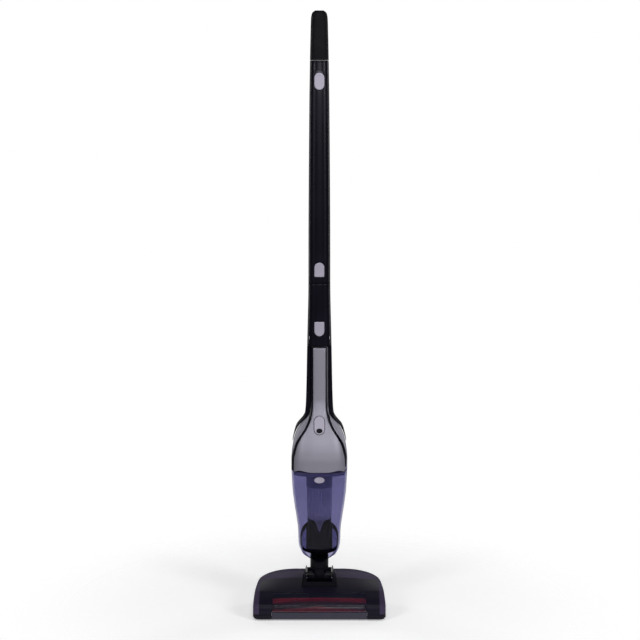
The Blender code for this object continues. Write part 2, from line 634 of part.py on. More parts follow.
def build_handle():
    """The handle tube with its grip, slider, release button and the spigot that enters the stem."""
    stops = [(z, 0) for z in (STEM_TOP + GAP, 700, 900, 950, 980, GRIP_START)]
    core = [(z, -2.8) for z in (GRIP_START, 1060, 1080)]
    shell = column("handle_rear_shell", STICK, stops + core, "gloss_black")
    wide = [(z, -WALL) for z in (600, 700, 900, 950, 980, 1008)]
    narrow = [(z, -WALL - 3.0) for z in (1008, 1060, 1076)]
    cut(shell, column("handle_hollow", STICK, wide + narrow))
    opening = [(z, at(STICK, z)[0] - COVER_INSET, -50, back) for z, back in (
        (600, -5.5), (900, -4.5), (960, -3.0), (1009, 3.5))]
    cut(shell, slab("handle_cover_opening", opening))

    cover = column("handle_front_cover", STICK, stops, "gloss_black")
    cut(cover, column("handle_cover_hollow", STICK, [*wide[:-1], (1030, -WALL)]))
    region = [(min(z, 1008.7), half - GAP, front, back - GAP) for z, half, front, back in opening]
    keep(cover, slab("handle_cover_region", region))

    sleeve_stops = [(z, 0) for z in (GRIP_START + GAP, 1040, 1060, 1086, 1096, 1100)]
    sleeve = column("grip_sleeve", STICK, sleeve_stops, "soft_black")
    cut(sleeve, column("grip_pocket", STICK, [(z, -2.5) for z in (1005, 1012, 1060, 1081)]))

    pill_up = pill(BUTTON_W / 2, 960, 990)
    track = pill(BUTTON_W / 2 + 0.4, 959.4, 995.6)
    cut(cover, plate("slider_track", track, -40, 5))
    proud = [(z, 1.0) for z in (950, 980, 1000)]
    slider = column("power_slider", STICK, proud, "button", pivot=(0, -16, 975))
    cut(slider, column("slider_back", STICK, [(z, -1.8) for z in (940, 980, 1010)]))
    keep(slider, plate("slider_shape", pill_up, -40, 2))
    block("switch_board", (-9, -7.5, 955), (9, -6, 1000), "board")

    arch = pill(BUTTON_W / 2, 625, 651, round_bottom=False)
    cut(cover, plate("handle_release_hole", grown(arch, GAP), -40, 0))
    proud = [(z, 0.5) for z in (615, 640, 660)]
    button = column("handle_release_button", STICK, proud, "button", pivot=(0, -20, 638))
    keep(button, plate("handle_release_shape", arch, -40, -14.5))
    spring_strip("handle_release_spring", 0, -11.6, 638)

    # Straight-sided, so that it draws out of the stem.
    seam = ((SPIGOT_BOTTOM, *at(STICK, STEM_TOP)), (STEM_TOP, *at(STICK, STEM_TOP)))
    spigot = column("handle_spigot", seam, ((SPIGOT_BOTTOM, -2.7), (632, -2.7)), "dark_grey")
    cut(spigot, column("spigot_hollow", seam, ((SPIGOT_BOTTOM - 10, -5.0), (640, -5.0))))
    cut(spigot, block("spigot_front_relief", (-11, -40, 618), (11, -8, 640)))


# ---------------------------------------------------------------------------------------------------
# Hand-held unit
# ---------------------------------------------------------------------------------------------------

BODY_STOPS = (272.2, 290, 305, 320, 335, 350, 358, 366, 372, 385, 400, 497.6)


def body_form(name, finish=None, grow=0.0, ends=(0.0, 0.0)):
    """The outer form of the hand-held unit, or one set inwards by a negative growth."""
    stops = [(z, grow) for z in BODY_STOPS]
    stops[0] = (BODY_STOPS[0] + ends[0], grow)
    stops[-1] = (BODY_STOPS[-1] + ends[1], grow)
    return column(name, BODY, stops, finish, 2.8)


def front_region(name, margin, back_shift, extend=0.0):
    """The panel's outline, widened by a margin, as far back as the parting line."""
    rows = []
    for height, half in PANEL:
        end = -extend if height == 272 else extend if height == 498 else 0.0
        rows.append((height + end, half + margin, -80, at(PARTING, height)[0] + back_shift))
    return slab(name, rows)


def build_handheld():
    """The hand-held unit above its cup: shells, trim, panel, power button and what they enclose."""
    for side, hand in SIDES:
        shell = body_form(f"side_shell_{hand}", "silver")
        cut(shell, body_form(f"shell_hollow_{hand}", None, -WALL, (-8, -2.5)))
        cut(shell, front_region(f"shell_front_{hand}", TRIM + GAP, GAP, 4))
        near, far = sorted((side * GAP / 2, side * 80))
        keep(shell, block(f"shell_side_{hand}", (near, -90, 250), (far, 40, 520)))

    trim = body_form("panel_trim", "gloss_black")
    cut(trim, body_form("trim_hollow", None, -WALL, (-8, -2.5)))
    keep(trim, front_region("trim_region", TRIM, 0, 4))
    cut(trim, front_region("trim_opening", GAP, 20, 4))
    join(trim, block("trim_crossbar", (-15.0, -21, 495.2), (15.0, -10, 497.2)))

    panel = body_form("front_panel", "silver", ends=(0, -3.0))
    cut(panel, body_form("panel_hollow", None, -WALL, (-8, 20)))
    keep(panel, front_region("panel_region", 0, -4, 4))
    press = pill(9.7, 340, 371)
    cut(panel, plate("power_hole", grown(press, GAP), -80, 0))
    button = body_form("power_button", "button", 0.4)
    cut(button, body_form("button_back", None, -3.2, (-2, 2)))
    keep(button, plate("power_shape", press, -80, 0))
    lens_outline = ellipse(346.5, 5.4, 3.8)
    cut(button, plate("lens_hole", grown(lens_outline, GAP), -80, 0))
    lens = body_form("indicator_lens", "gloss_black", 0.8)
    cut(lens, body_form("lens_back", None, -2.6, (-2, 2)))
    keep(lens, plate("lens_shape", lens_outline, -80, 0))

    block("control_board", (-10.5, -15, 352), (10.5, -13.4, 440), "board")
    for side, hand in SIDES:
        x, y = side * 31.0, -15.0
        rod(f"battery_cell_{hand}", (x, y, 276), (x, y, 338), 9.0, "cell_wrap", 12)
    can = (
        (7.0, 276), (20.8, 276), (20.8, 330), (4.5, 330), (4.5, 327), (19.0, 327), (19.0, 279), (7.0, 279),
    )
    turned("motor_housing", can, (0, MOTOR_Y, 0), (0, 0, 1), "dark_grey", 20, True)
    rotor = (
        (0, 281), (17.5, 281), (17.5, 288), (6, 291), (13, 295), (13, 322), (2.5, 323), (2.5, 334),
        (0, 334),
    )
    turned("motor_fan_rotor", rotor, (0, MOTOR_Y, 0), (0, 0, 1), "copper", 16, pivot=(0, MOTOR_Y, 281))


# ---------------------------------------------------------------------------------------------------
# Dust cup
# ---------------------------------------------------------------------------------------------------

CUP_STOPS = (97.6, 110, 131, 157, 183, 205, 235, 271.9)


def cup_form(name, finish=None, grow=0.0, ends=(0.0, 0.0)):
    """The outer form of the dust cup, or one set inwards by a negative growth."""
    stops = [(z, grow) for z in CUP_STOPS]
    stops[0] = (CUP_STOPS[0] + ends[0], grow)
    stops[-1] = (CUP_STOPS[-1] + ends[1], grow)
    return column(name, CUP, stops, finish, 2.8)


def flange_plane(name, low, high):
    """A slanted slab between two distances from the plane that closes the cup above its nozzle."""
    slope = math.radians(53)
    normal = Vector((0, -math.sin(slope), math.cos(slope)))
    size = Vector((140, 180, high - low))
    middle = Vector((0, -31.0, 113.0)) + normal * (low + high) / 2
    return block(name, middle - size / 2, middle + size / 2, turn=Matrix.Rotation(slope, 4, "X"))


def build_cup():
    """The dust cup with its release button, and the inlet duct and filter inside it."""
    cup = cup_form("dust_cup", "smoke")
    cut(cup, cup_form("cup_hollow", None, -WALL, (1.5, 6)))
    cut(cup, cut_below_dock("cup_mouth_cut", 0.0))
    cut(cup, dock_ring("cup_mouth", (13.0, 12.0), -20, 8))
    eye = ellipse(258, 9.2, 5.6)
    cut(cup, plate("eye_hole", grown(eye, GAP), -80, -30))
    button = cup_form("cup_release_button", "button", 0.5)
    keep(button, plate("eye_shape", eye, -80, -54.5))

    flange = cup_form("inlet_duct", "gloss_black", -WALL - GAP, (2.0, 0))
    keep(flange, flange_plane("flange_slab", 0.0, 3.0))
    duct = ((105, 21.5, -26, 3.4), (176, 21.5, -26, 3.4))
    tube = column("duct_tube", duct, ((105, 0), (176, 0)), power=3.0)
    cut(tube, flange_plane("duct_foot", -80.0, 1.0))
    join(flange, tube)
    cut(flange, column("duct_bore", duct, ((100, -WALL), (190, -WALL)), power=3.0))
    cut(flange, plate("duct_valley", [(-17, 190), (0, 148), (17, 190)], -40, -8))

    plate_ring = cup_form("filter_frame", "dark_grey", -WALL - GAP)
    keep(plate_ring, block("filter_plate_region", (-80, -80, 264), (80, 40, 270)))
    join(plate_ring, rod("filter_collar", (0, FILTER_Y, 240), (0, FILTER_Y, 266), 24.0, count=20))
    cut(plate_ring, rod("filter_bore", (0, FILTER_Y, 230), (0, FILTER_Y, 280), 20.5, count=20))
    bag = (
        (0, 153), (1, 153), (12.5, 186), (22.5, 202), (23.5, 239.5), (20.0, 239.5), (19.0, 203), (10, 189.5),
        (0, 170.0),
    )
    turned("filter_element", bag, (0, FILTER_Y, 0), (0, 0, 1), "filter_cloth", 20)


def cut_below_dock(name, offset):
    """A block below the sloping plane of the dock."""
    turn = Matrix.Rotation(math.radians(45), 4, "X")
    size = Vector((120, 120, 60))
    middle = Vector((0, -13.0, CUP_BOTTOM)) - Vector((0, -1, 1)).normalized() * (size.z / 2 + offset)
    return block(name, middle - size / 2, middle + size / 2, turn=turn)


def main():
    clear_scene()
    build_head()
    build_yoke()
    build_frame()
    build_handle()
    build_handheld()
    build_cup()


main()
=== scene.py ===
"""Cordless upright stick vacuum cleaner: its visible pieces and finishes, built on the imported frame.

Lengths are in millimetres from the floor point below the tilt pivot, with +Z up and the front facing -Y.
Datum.place turns them into metres in the frame. Each sub-assembly is a class that holds its sizes and
has methods that build and dress its pieces.
"""

from __future__ import annotations

import json
import logging
import math
import random
from bisect import bisect_right
from collections.abc import Callable, Iterable, Mapping, Sequence
from dataclasses import dataclass, field
from enum import Enum
from functools import partial
from typing import Any

import bmesh
import bpy
from mathutils import Matrix, Vector

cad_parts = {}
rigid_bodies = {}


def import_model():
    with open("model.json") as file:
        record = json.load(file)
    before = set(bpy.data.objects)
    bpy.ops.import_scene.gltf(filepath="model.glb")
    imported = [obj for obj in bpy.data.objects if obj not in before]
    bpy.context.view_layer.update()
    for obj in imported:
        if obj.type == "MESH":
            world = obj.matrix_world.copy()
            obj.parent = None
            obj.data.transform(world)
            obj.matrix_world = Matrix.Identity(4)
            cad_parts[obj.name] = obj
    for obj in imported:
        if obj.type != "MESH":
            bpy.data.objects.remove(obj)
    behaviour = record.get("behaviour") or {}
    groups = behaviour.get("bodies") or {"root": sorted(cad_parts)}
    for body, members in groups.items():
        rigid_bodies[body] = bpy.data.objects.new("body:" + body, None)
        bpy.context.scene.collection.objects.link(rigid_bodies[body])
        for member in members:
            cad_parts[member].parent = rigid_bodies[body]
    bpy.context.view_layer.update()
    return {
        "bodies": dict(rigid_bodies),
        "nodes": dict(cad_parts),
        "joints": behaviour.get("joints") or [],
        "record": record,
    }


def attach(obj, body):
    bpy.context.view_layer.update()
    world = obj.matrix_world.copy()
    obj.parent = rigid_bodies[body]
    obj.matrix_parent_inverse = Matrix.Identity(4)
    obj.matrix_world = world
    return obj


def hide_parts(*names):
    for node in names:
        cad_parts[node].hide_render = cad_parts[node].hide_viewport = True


MM = 0.001
GAP = 0.3
WALL = 2.2
SIDES = ((-1, "left"), (1, "right"))
Row = tuple[float, ...]
log = logging.getLogger("vacuum")


class Slot(Enum):
    """The record's material slots."""

    GLOSS_BLACK = "gloss_black"
    SOFT_GRIP = "soft_grip"
    SOFT_BLACK = "soft_black"
    DARK_PLASTIC = "dark_plastic"
    SILVER_PANEL = "silver_panel"
    BUTTON_GREY = "button_grey"
    SMOKE_CLEAR = "smoke_clear"
    BRUSH_RED = "brush_red"
    RUBBER = "rubber"
    STEEL = "steel"
    WINDING = "winding"
    FILTER_CLOTH = "filter_cloth"
    CELL_WRAP = "cell_wrap"
    BOARD = "board"


class Combine(Enum):
    """How one solid changes another."""

    CUT = "DIFFERENCE"
    KEEP = "INTERSECT"
    JOIN = "UNION"


# Outlines


class Profile:
    """Values that change smoothly along a distance, through given rows and without overshoot."""

    def __init__(self, rows: Sequence[Row]) -> None:
        """Reads the rows.

        Args:
            rows: a distance and its values in each, in rising order.
        """
        self.stops = [row[0] for row in rows]
        self.columns = list(zip(*(row[1:] for row in rows)))
        self.slopes = [self._slopes(column) for column in self.columns]

    def _slopes(self, column: Sequence[float]) -> list[float]:
        """The slope of one column at each row, level at each peak and hollow."""
        gaps = [b - a for a, b in zip(self.stops, self.stops[1:])]
        rises = [(b - a) / gap for a, b, gap in zip(column, column[1:], gaps)]
        slopes = [rises[0]]
        for before, after, short, long in zip(rises, rises[1:], gaps, gaps[1:]):
            if before * after <= 0:
                slopes.append(0.0)
                continue
            first, second = 2 * long + short, long + 2 * short
            slopes.append((first + second) / (first / before + second / after))
        return [*slopes, rises[-1]]

    def __call__(self, distance: float) -> tuple[float, ...]:
        """The values at a distance."""
        distance = min(max(distance, self.stops[0]), self.stops[-1])
        index = min(bisect_right(self.stops, distance) - 1, len(self.stops) - 2)
        gap = self.stops[index + 1] - self.stops[index]
        t = (distance - self.stops[index]) / gap
        start, end = (1 + 2 * t) * (1 - t) ** 2, t * t * (3 - 2 * t)
        leave, arrive = t * (1 - t) ** 2 * gap, t * t * (t - 1) * gap
        return tuple(
            start * column[index] + end * column[index + 1]
            + leave * slope[index] + arrive * slope[index + 1]
            for column, slope in zip(self.columns, self.slopes)
        )


class Form:
    """A column whose plan is a rounded oblong: half width, front and back change with height."""

    def __init__(self, rows: Sequence[Row], power: float) -> None:
        """Reads the outline.

        Args:
            rows: height, half width, front and back.
            power: 2 gives an ellipse in plan, and more gives squarer corners.
        """
        self.profile = Profile(rows)
        self.power = power

    def point(self, turn: float, height: float, grow: float = 0.0) -> Vector:
        """A point of the surface.

        Args:
            turn: the direction in plan, from +X towards the back.
            height: the height.
            grow: how far the surface is moved outwards.

        Returns:
            The point.
        """
        half, front, back = self.profile(height)
        across, along = half + grow, (back - front) / 2 + grow
        c, s = math.cos(turn), math.sin(turn)
        power = self.power
        reach = (abs(c / across) ** power + abs(s / along) ** power) ** (-1 / power)
        return Vector((reach * c, (front + back) / 2 + reach * s, height))

    def front_turn(self, x: float, height: float) -> float:
        """The direction in plan at which the front stands at this distance from the middle."""
        half, front, back = self.profile(height)
        share = min(abs(x) / half, 0.9995)
        depth = (back - front) / 2 * (1 - share**self.power) ** (1 / self.power)
        return math.atan2(-depth, x)

    def front(self, x: float, height: float, grow: float = 0.0) -> float:
        """Y of the front surface at this distance from the middle."""
        return self.point(self.front_turn(x, height), height, grow).y


def pill(half: float, bottom: float, top: float, inset: float = 0.0, round_bottom: bool = True,
         round_top: bool = True, steps: int = 12) -> list[tuple[float, float]]:
    """A front-view outline with straight sides and round or flat ends.

    Args:
        half: half the width.
        bottom: lowest height.
        top: highest height.
        inset: how far every side is moved inwards.
        round_bottom: whether the lower end is round.
        round_top: whether the upper end is round.
        steps: points along each end.

    Returns:
        Points of X and Z, anticlockwise as seen from the front.
    """
    half, bottom, top = half - inset, bottom + inset, top - inset
    corner = min(half, 1.6)
    points = []
    for sign, level, rounded in ((1, top, round_top), (-1, bottom, round_bottom)):
        radius = half if rounded else corner
        for step in range(steps + 1):
            angle = math.pi * step / steps
            shift = half - radius if step * 2 < steps else radius - half if step * 2 > steps else 0.0
            x = sign * (radius * math.cos(angle) + shift)
            points.append((x, level - sign * radius * (1 - math.sin(angle))))
    return points


def ellipse(height: float, half: float, rise: float, inset: float = 0.0,
            steps: int = 32) -> list[tuple[float, float]]:
    """A front-view oval about a height on the middle line."""
    turns = [2 * math.pi * step / steps for step in range(steps)]
    return [((half - inset) * math.cos(t), height + (rise - inset) * math.sin(t)) for t in turns]


# Solids


class Solid:
    """A working mesh in layout millimetres."""

    def __init__(self) -> None:
        """An empty mesh."""
        self.work = bmesh.new()

    @classmethod
    def sheet(cls, across: int, along: int, place: Callable[[float, float], Vector]) -> Solid:
        """An open sheet over a grid.

        Args:
            across: faces in the first direction.
            along: faces in the second direction.
            place: gives a point for two shares from 0 to 1.

        Returns:
            The sheet, facing the side from which the two directions turn anticlockwise.
        """
        made = cls()
        bmesh.ops.create_grid(made.work, x_segments=across, y_segments=along, size=1.0)
        for vert in made.work.verts:
            vert.co = place((vert.co.x + 1) / 2, (vert.co.y + 1) / 2)
        return made

    @classmethod
    def through(cls, rings: Sequence[Sequence[Vector]]) -> Solid:
        """A solid through closed rings of equally many points, with flat ends."""
        count, last = len(rings[0]), len(rings) - 1

        def place(u: float, v: float) -> Vector:
            """The ring point at two shares."""
            return rings[round(v * last)][round(u * count) % count]

        return cls.sheet(count, last, place).merged().closed()

    @classmethod
    def tube(cls, form: Form, low: float, high: float, grow: float = 0.0, around: int = 72,
             along: int = 24) -> Solid:
        """The solid inside a form between two heights."""
        heights = [low + (high - low) * step / along for step in range(along + 1)]
        turns = [2 * math.pi * (step + 0.5) / around for step in range(around)]
        return cls.through([[form.point(turn, height, grow) for turn in turns] for height in heights])

    @classmethod
    def prism(cls, outline: Sequence[tuple[float, float]], front: float, back: float) -> Solid:
        """A front-view outline drawn out along Y."""
        return cls.through([[Vector((x, y, z)) for x, z in outline] for y in (back, front)])

    @classmethod
    def slab(cls, rows: Sequence[Row]) -> Solid:
        """A solid of rectangular sections: height, half width, front and back in each row."""
        return cls.through([
            [Vector((x, y, z)) for x, y in ((half, back), (-half, back), (-half, front), (half, front))]
            for z, half, front, back in rows
        ])

    @classmethod
    def block(cls, low: Row, high: Row) -> Solid:
        """A box between two corners."""
        made = cls()
        bmesh.ops.create_cube(made.work, size=1.0)
        start, end = Vector(low), Vector(high)
        bmesh.ops.scale(made.work, verts=made.work.verts[:], vec=end - start)
        bmesh.ops.translate(made.work, verts=made.work.verts[:], vec=(start + end) / 2)
        return made

    @classmethod
    def rod(cls, start: Row, end: Row, radius: float, count: int = 48) -> Solid:
        """A cylinder between two points."""
        made = cls()
        first, last = Vector(start), Vector(end)
        bmesh.ops.create_cone(
            made.work, cap_ends=True, segments=count, radius1=radius, radius2=radius,
            depth=(last - first).length,
        )
        turn = (last - first).to_track_quat("Z", "Y").to_matrix().to_4x4()
        move = Matrix.Translation((first + last) / 2) @ turn
        bmesh.ops.transform(made.work, matrix=move, verts=made.work.verts[:])
        return made

    @classmethod
    def turned(cls, outline: Sequence[Row], centre: Row, axis: Row, closed: bool = False,
               count: int = 64) -> Solid:
        """A turned solid.

        Args:
            outline: radius and distance along the axis.
            centre: the point from which those distances count.
            axis: the direction of the axis.
            closed: whether the outline closes on itself and leaves a bore.
            count: steps round the axis.

        Returns:
            The solid.
        """
        made = cls()
        verts = [made.work.verts.new((radius, 0.0, along)) for radius, along in outline]
        pairs = list(zip(verts, verts[1:])) + ([(verts[-1], verts[0])] if closed else [])
        edges = [made.work.edges.new(pair) for pair in pairs]
        bmesh.ops.spin(
            made.work, geom=verts + edges, cent=(0, 0, 0), axis=(0, 0, 1), angle=2 * math.pi,
            steps=count, use_merge=True,
        )
        made.merged()
        turn = Vector(axis).to_track_quat("Z", "Y").to_matrix().to_4x4()
        move = Matrix.Translation(Vector(centre)) @ turn
        bmesh.ops.transform(made.work, matrix=move, verts=made.work.verts[:])
        bmesh.ops.recalc_face_normals(made.work, faces=made.work.faces[:])
        return made

    def merged(self) -> Solid:
        """Closes seams and poles."""
        bmesh.ops.remove_doubles(self.work, verts=self.work.verts[:], dist=1e-4)
        return self

    def closed(self) -> Solid:
        """Fills the open ends and turns all faces outwards."""
        rims = [edge for edge in self.work.edges if edge.is_boundary]
        bmesh.ops.holes_fill(self.work, edges=rims, sides=0)
        bmesh.ops.recalc_face_normals(self.work, faces=self.work.faces[:])
        return self

    def thickened(self, depth: float) -> Solid:
        """Gives an open sheet a wall on its inner side."""
        self.work.normal_update()
        inward = {tuple(vert.co): vert.normal * -depth for vert in self.work.verts}
        drawn = bmesh.ops.extrude_face_region(self.work, geom=self.work.faces[:])["geom"]
        for vert in [item for item in drawn if isinstance(item, bmesh.types.BMVert)]:
            vert.co += inward[tuple(vert.co)]
        bmesh.ops.recalc_face_normals(self.work, faces=self.work.faces[:])
        return self

    def softened(self, offset: float, segments: int = 2, angle: float = 50.0) -> Solid:
        """Rounds the edges that are sharper than an angle in degrees."""
        limit = math.radians(angle)
        sharp = [e for e in self.work.edges if e.is_manifold and e.calc_face_angle(0.0) > limit]
        bmesh.ops.bevel(
            self.work, geom=sharp, offset=offset, offset_type="OFFSET", segments=segments,
            profile=0.5, affect="EDGES", clamp_overlap=True, material=-1,
        )
        return self

    def placed(self, matrix: Matrix) -> Solid:
        """The same solid, moved by a matrix."""
        bmesh.ops.transform(self.work, matrix=matrix, verts=self.work.verts[:])
        return self

    def _object(self) -> bpy.types.Object:
        """A scene object of this working mesh, for a Boolean."""
        mesh = bpy.data.meshes.new("working")
        self.work.to_mesh(mesh)
        self.work.free()
        obj = bpy.data.objects.new("working", mesh)
        bpy.context.scene.collection.objects.link(obj)
        return obj

    def combined(self, how: Combine, *tools: Solid) -> Solid:
        """Cuts, keeps or joins with each tool in turn."""
        target = self._object()
        others = [tool._object() for tool in tools]
        for other in others:
            modifier = target.modifiers.new("combine", "BOOLEAN")
            modifier.operation, modifier.object, modifier.solver = how.value, other, "EXACT"
        graph = bpy.context.evaluated_depsgraph_get()
        mesh = bpy.data.meshes.new_from_object(target.evaluated_get(graph), depsgraph=graph)
        self.work = bmesh.new()
        self.work.from_mesh(mesh)
        bpy.data.meshes.remove(mesh)
        for obj in (target, *others):
            used = obj.data
            bpy.data.objects.remove(obj)
            bpy.data.meshes.remove(used)
        return self

    def cut(self, *tools: Solid) -> Solid:
        """Takes the tools away."""
        return self.combined(Combine.CUT, *tools)

    def kept(self, tool: Solid) -> Solid:
        """Keeps what is inside the tool."""
        return self.combined(Combine.KEEP, tool)

    def joined(self, *tools: Solid) -> Solid:
        """Adds the tools."""
        return self.combined(Combine.JOIN, *tools)


def wall_sheet(form: Form, half: float, low: float, high: float, grow: float, wall: float,
               across: int = 16, along: int = 32) -> Solid:
    """A thin plate that follows the front of a form.

    Args:
        form: the surface that it follows.
        half: half its width.
        low: lowest height.
        high: highest height.
        grow: how far it is moved outwards.
        wall: its thickness.
        across: faces from side to side.
        along: faces from bottom to top.

    Returns:
        The plate.
    """
    def place(u: float, v: float) -> Vector:
        """The point of the form at two shares."""
        height = low + (high - low) * v
        return form.point(form.front_turn(half * (2 * u - 1), height), height, grow)

    return Solid.sheet(across, along, place).thickened(wall)


def press_cap(form: Form, outline: Callable[[float], list[tuple[float, float]]], proud: float,
              back: float, edge: float = 0.9, dish: float = 0.0, reach: float = 6.0) -> Solid:
    """A push button with a rounded edge, whose face follows a form.

    Args:
        form: the surface round the button.
        outline: gives the outline for an inset.
        proud: how far the face stands out.
        back: Y of the button's back.
        edge: radius of the edge.
        dish: how deep the middle of the face is.
        reach: inset at which the dish is at its deepest.

    Returns:
        The button.
    """
    levels = [(0.0, -edge)]
    for step in range(1, 5):
        angle = math.pi / 2 * step / 4
        levels.append((edge * (1 - math.cos(angle)), edge * (math.sin(angle) - 1)))
    for step in range(1, 6):
        share = step / 5
        levels.append((edge + (reach - edge) * share, -dish * (1 - math.cos(math.pi * share)) / 2))
    rings = [[Vector((x, back, z)) for x, z in outline(0.0)]]
    for inset, depth in levels:
        ring = outline(inset)
        rings.append([Vector((x, form.front(x, z) - proud - depth, z)) for x, z in ring])
    return Solid.through(rings)


# Shaders


class Value:
    """A number in a shader. An operator on it adds the Math node."""

    def __init__(self, graph: Graph, socket: bpy.types.NodeSocket) -> None:
        """Wraps a socket of a graph."""
        self.graph = graph
        self.socket = socket

    def __add__(self, other: Any) -> Value:
        """Sum."""
        return self.graph.maths("ADD", self, other)

    def __sub__(self, other: Any) -> Value:
        """Difference."""
        return self.graph.maths("SUBTRACT", self, other)

    def __mul__(self, other: Any) -> Value:
        """Product."""
        return self.graph.maths("MULTIPLY", self, other)

    def __pow__(self, other: Any) -> Value:
        """Power."""
        return self.graph.maths("POWER", self, other)

    def __rsub__(self, other: Any) -> Value:
        """Difference from a number."""
        return self.graph.maths("SUBTRACT", other, self)

    __radd__ = __add__
    __rmul__ = __mul__

    def wave(self) -> Value:
        """Its sine."""
        return self.graph.maths("SINE", self)

    def rise(self, low: float, high: float) -> Value:
        """0 below the low limit, 1 above the high one and smooth between them."""
        node = self.graph.node("ShaderNodeMapRange", {"interpolation_type": "SMOOTHSTEP"}, {
            0: self, 1: low, 2: high, 3: 0.0, 4: 1.0,
        })
        return Value(self.graph, node.outputs[0])


Colour = tuple[float, float, float]


class Graph:
    """The nodes of one material."""

    def __init__(self, name: str) -> None:
        """Starts an empty material."""
        self.material = bpy.data.materials.new(name)
        self.material.use_nodes = True
        self.tree = self.material.node_tree
        self.tree.nodes.clear()
        self.here = Value(self, self.node("ShaderNodeTexCoord").outputs["Object"])

    def node(self, kind: str, settings: Mapping[str, Any] | None = None,
             values: Mapping[Any, Any] | None = None) -> bpy.types.Node:
        """Adds a node.

        Args:
            kind: the node's type.
            settings: its own settings.
            values: numbers, colours or values for its sockets, by name or place.

        Returns:
            The node.
        """
        node = self.tree.nodes.new(kind)
        for key, setting in (settings or {}).items():
            setattr(node, key, setting)
        for key, value in (values or {}).items():
            if isinstance(value, Value):
                self.tree.links.new(value.socket, node.inputs[key])
            else:
                node.inputs[key].default_value = value
        return node

    def maths(self, operation: str, *values: Any) -> Value:
        """A Math node of one operation."""
        node = self.node("ShaderNodeMath", {"operation": operation}, dict(enumerate(values)))
        return Value(self, node.outputs[0])

    def noise(self, scale: float, detail: float = 2.0, where: Value | None = None,
              distortion: float = 0.0) -> Value:
        """Noise of a scale per metre."""
        node = self.node("ShaderNodeTexNoise", None, {
            "Vector": where or self.here, "Scale": scale, "Detail": detail, "Distortion": distortion,
        })
        return Value(self, node.outputs["Fac"])

    def cells(self, scale: float) -> Value:
        """Distance to the middle of the nearest cell."""
        node = self.node("ShaderNodeTexVoronoi", None, {"Vector": self.here, "Scale": scale})
        return Value(self, node.outputs["Distance"])

    def stretched(self, scale: Colour) -> Value:
        """The place, stretched per axis."""
        node = self.node("ShaderNodeVectorMath", {"operation": "MULTIPLY"}, {0: self.here, 1: scale})
        return Value(self, node.outputs[0])

    def axis(self, name: str) -> Value:
        """One coordinate of the place, in metres."""
        return Value(self, self.node("ShaderNodeSeparateXYZ", None, {0: self.here}).outputs[name])

    def blend(self, share: Any, first: Any, second: Any) -> Value:
        """A colour between two others."""
        colours = [c if isinstance(c, Value) else (*c, 1.0) for c in (first, second)]
        values = {0: share, 6: colours[0], 7: colours[1]}
        node = self.node("ShaderNodeMix", {"data_type": "RGBA"}, values)
        return Value(self, node.outputs[2])

    def bump(self, height: Value, strength: float, distance: float = 0.0005) -> Value:
        """A normal bent by a height."""
        node = self.node("ShaderNodeBump", None, {
            "Height": height, "Strength": strength, "Distance": distance,
        })
        return Value(self, node.outputs["Normal"])

    def handled(self) -> tuple[Value, Value]:
        """Haze left by hands, and specks of dust."""
        cloud = self.noise(9.0, 4.0).rise(0.42, 0.72)
        return cloud, (1 - self.cells(420.0)).rise(0.93, 0.99) * self.noise(30.0).rise(0.5, 0.7)

    def finished(self, **values: Any) -> bpy.types.Material:
        """Closes the material with its shader.

        Args:
            values: the shader's sockets, with underscores for spaces.

        Returns:
            The material.
        """
        named = {key.replace("_", " "): value for key, value in values.items()}
        shader = self.node("ShaderNodeBsdfPrincipled", None, named)
        self.node("ShaderNodeOutputMaterial", None, {"Surface": Value(self, shader.outputs[0])})
        return self.material


def tinted(colour: Colour, by: float) -> Colour:
    """A colour made lighter or darker by a factor."""
    return (colour[0] * by, colour[1] * by, colour[2] * by)


@dataclass(frozen=True)
class Finish:
    """A finish made of one Principled shader. Each kind gives the shader's values."""

    colour: Colour

    def values(self, g: Graph) -> dict[str, Any]:
        """The shader's values by socket, with underscores for spaces."""
        raise NotImplementedError

    def material(self, name: str) -> bpy.types.Material:
        """Builds the material."""
        g = Graph(name)
        return g.finished(**self.values(g))


@dataclass(frozen=True)
class GlossPlastic(Finish):
    """Polished moulding: deep colour, a faint flow ripple, haze from hands and specks of dust."""

    roughness: float = 0.3
    haze: float = 0.08
    level: float = 0.2

    def values(self, g: Graph) -> dict[str, Any]:
        """The shader's values."""
        cloud, dust = g.handled()
        colour = g.blend(cloud, tinted(self.colour, 0.85), tinted(self.colour, 1.3))
        colour = g.blend(dust * 0.06, colour, (0.08, 0.08, 0.10))
        return dict(
            Base_Color=colour,
            Roughness=self.roughness + cloud * self.haze + dust * 0.05,
            Specular_IOR_Level=self.level,
            Normal=g.bump(g.noise(70.0, 1.0), 0.03, 0.0002),
        )


@dataclass(frozen=True)
class GlossWithPaintedHighlight(Finish):
    """Polished dark cover with painted highlights: a paler violet painted along its sides and its rear, where
    its rim and rear band catch the light.
    """

    # rim is the colour of the painted highlight; side and rear say where it begins.
    rim: Colour
    side: float
    rear: float
    level: float = 0.09

    def values(self, g: Graph) -> dict[str, Any]:
        """The shader's values."""
        cloud, dust = g.handled()
        # Painted highlight: the colour turns paler along the sides and towards the rear.
        across = g.maths("ABSOLUTE", g.axis("X")).rise(self.side, self.side + 0.0015)
        along = g.axis("Y").rise(self.rear, self.rear + 0.006)
        share = g.maths("MAXIMUM", across, along)
        colour = g.blend(share, self.colour, self.rim)
        colour = g.blend(dust * 0.15, colour, (0.10, 0.10, 0.12))
        return dict(
            Base_Color=colour,
            Roughness=0.3 + cloud * 0.08 + share * 0.15,
            Specular_IOR_Level=self.level,
            Normal=g.bump(g.noise(70.0, 1.0), 0.05, 0.0003),
        )


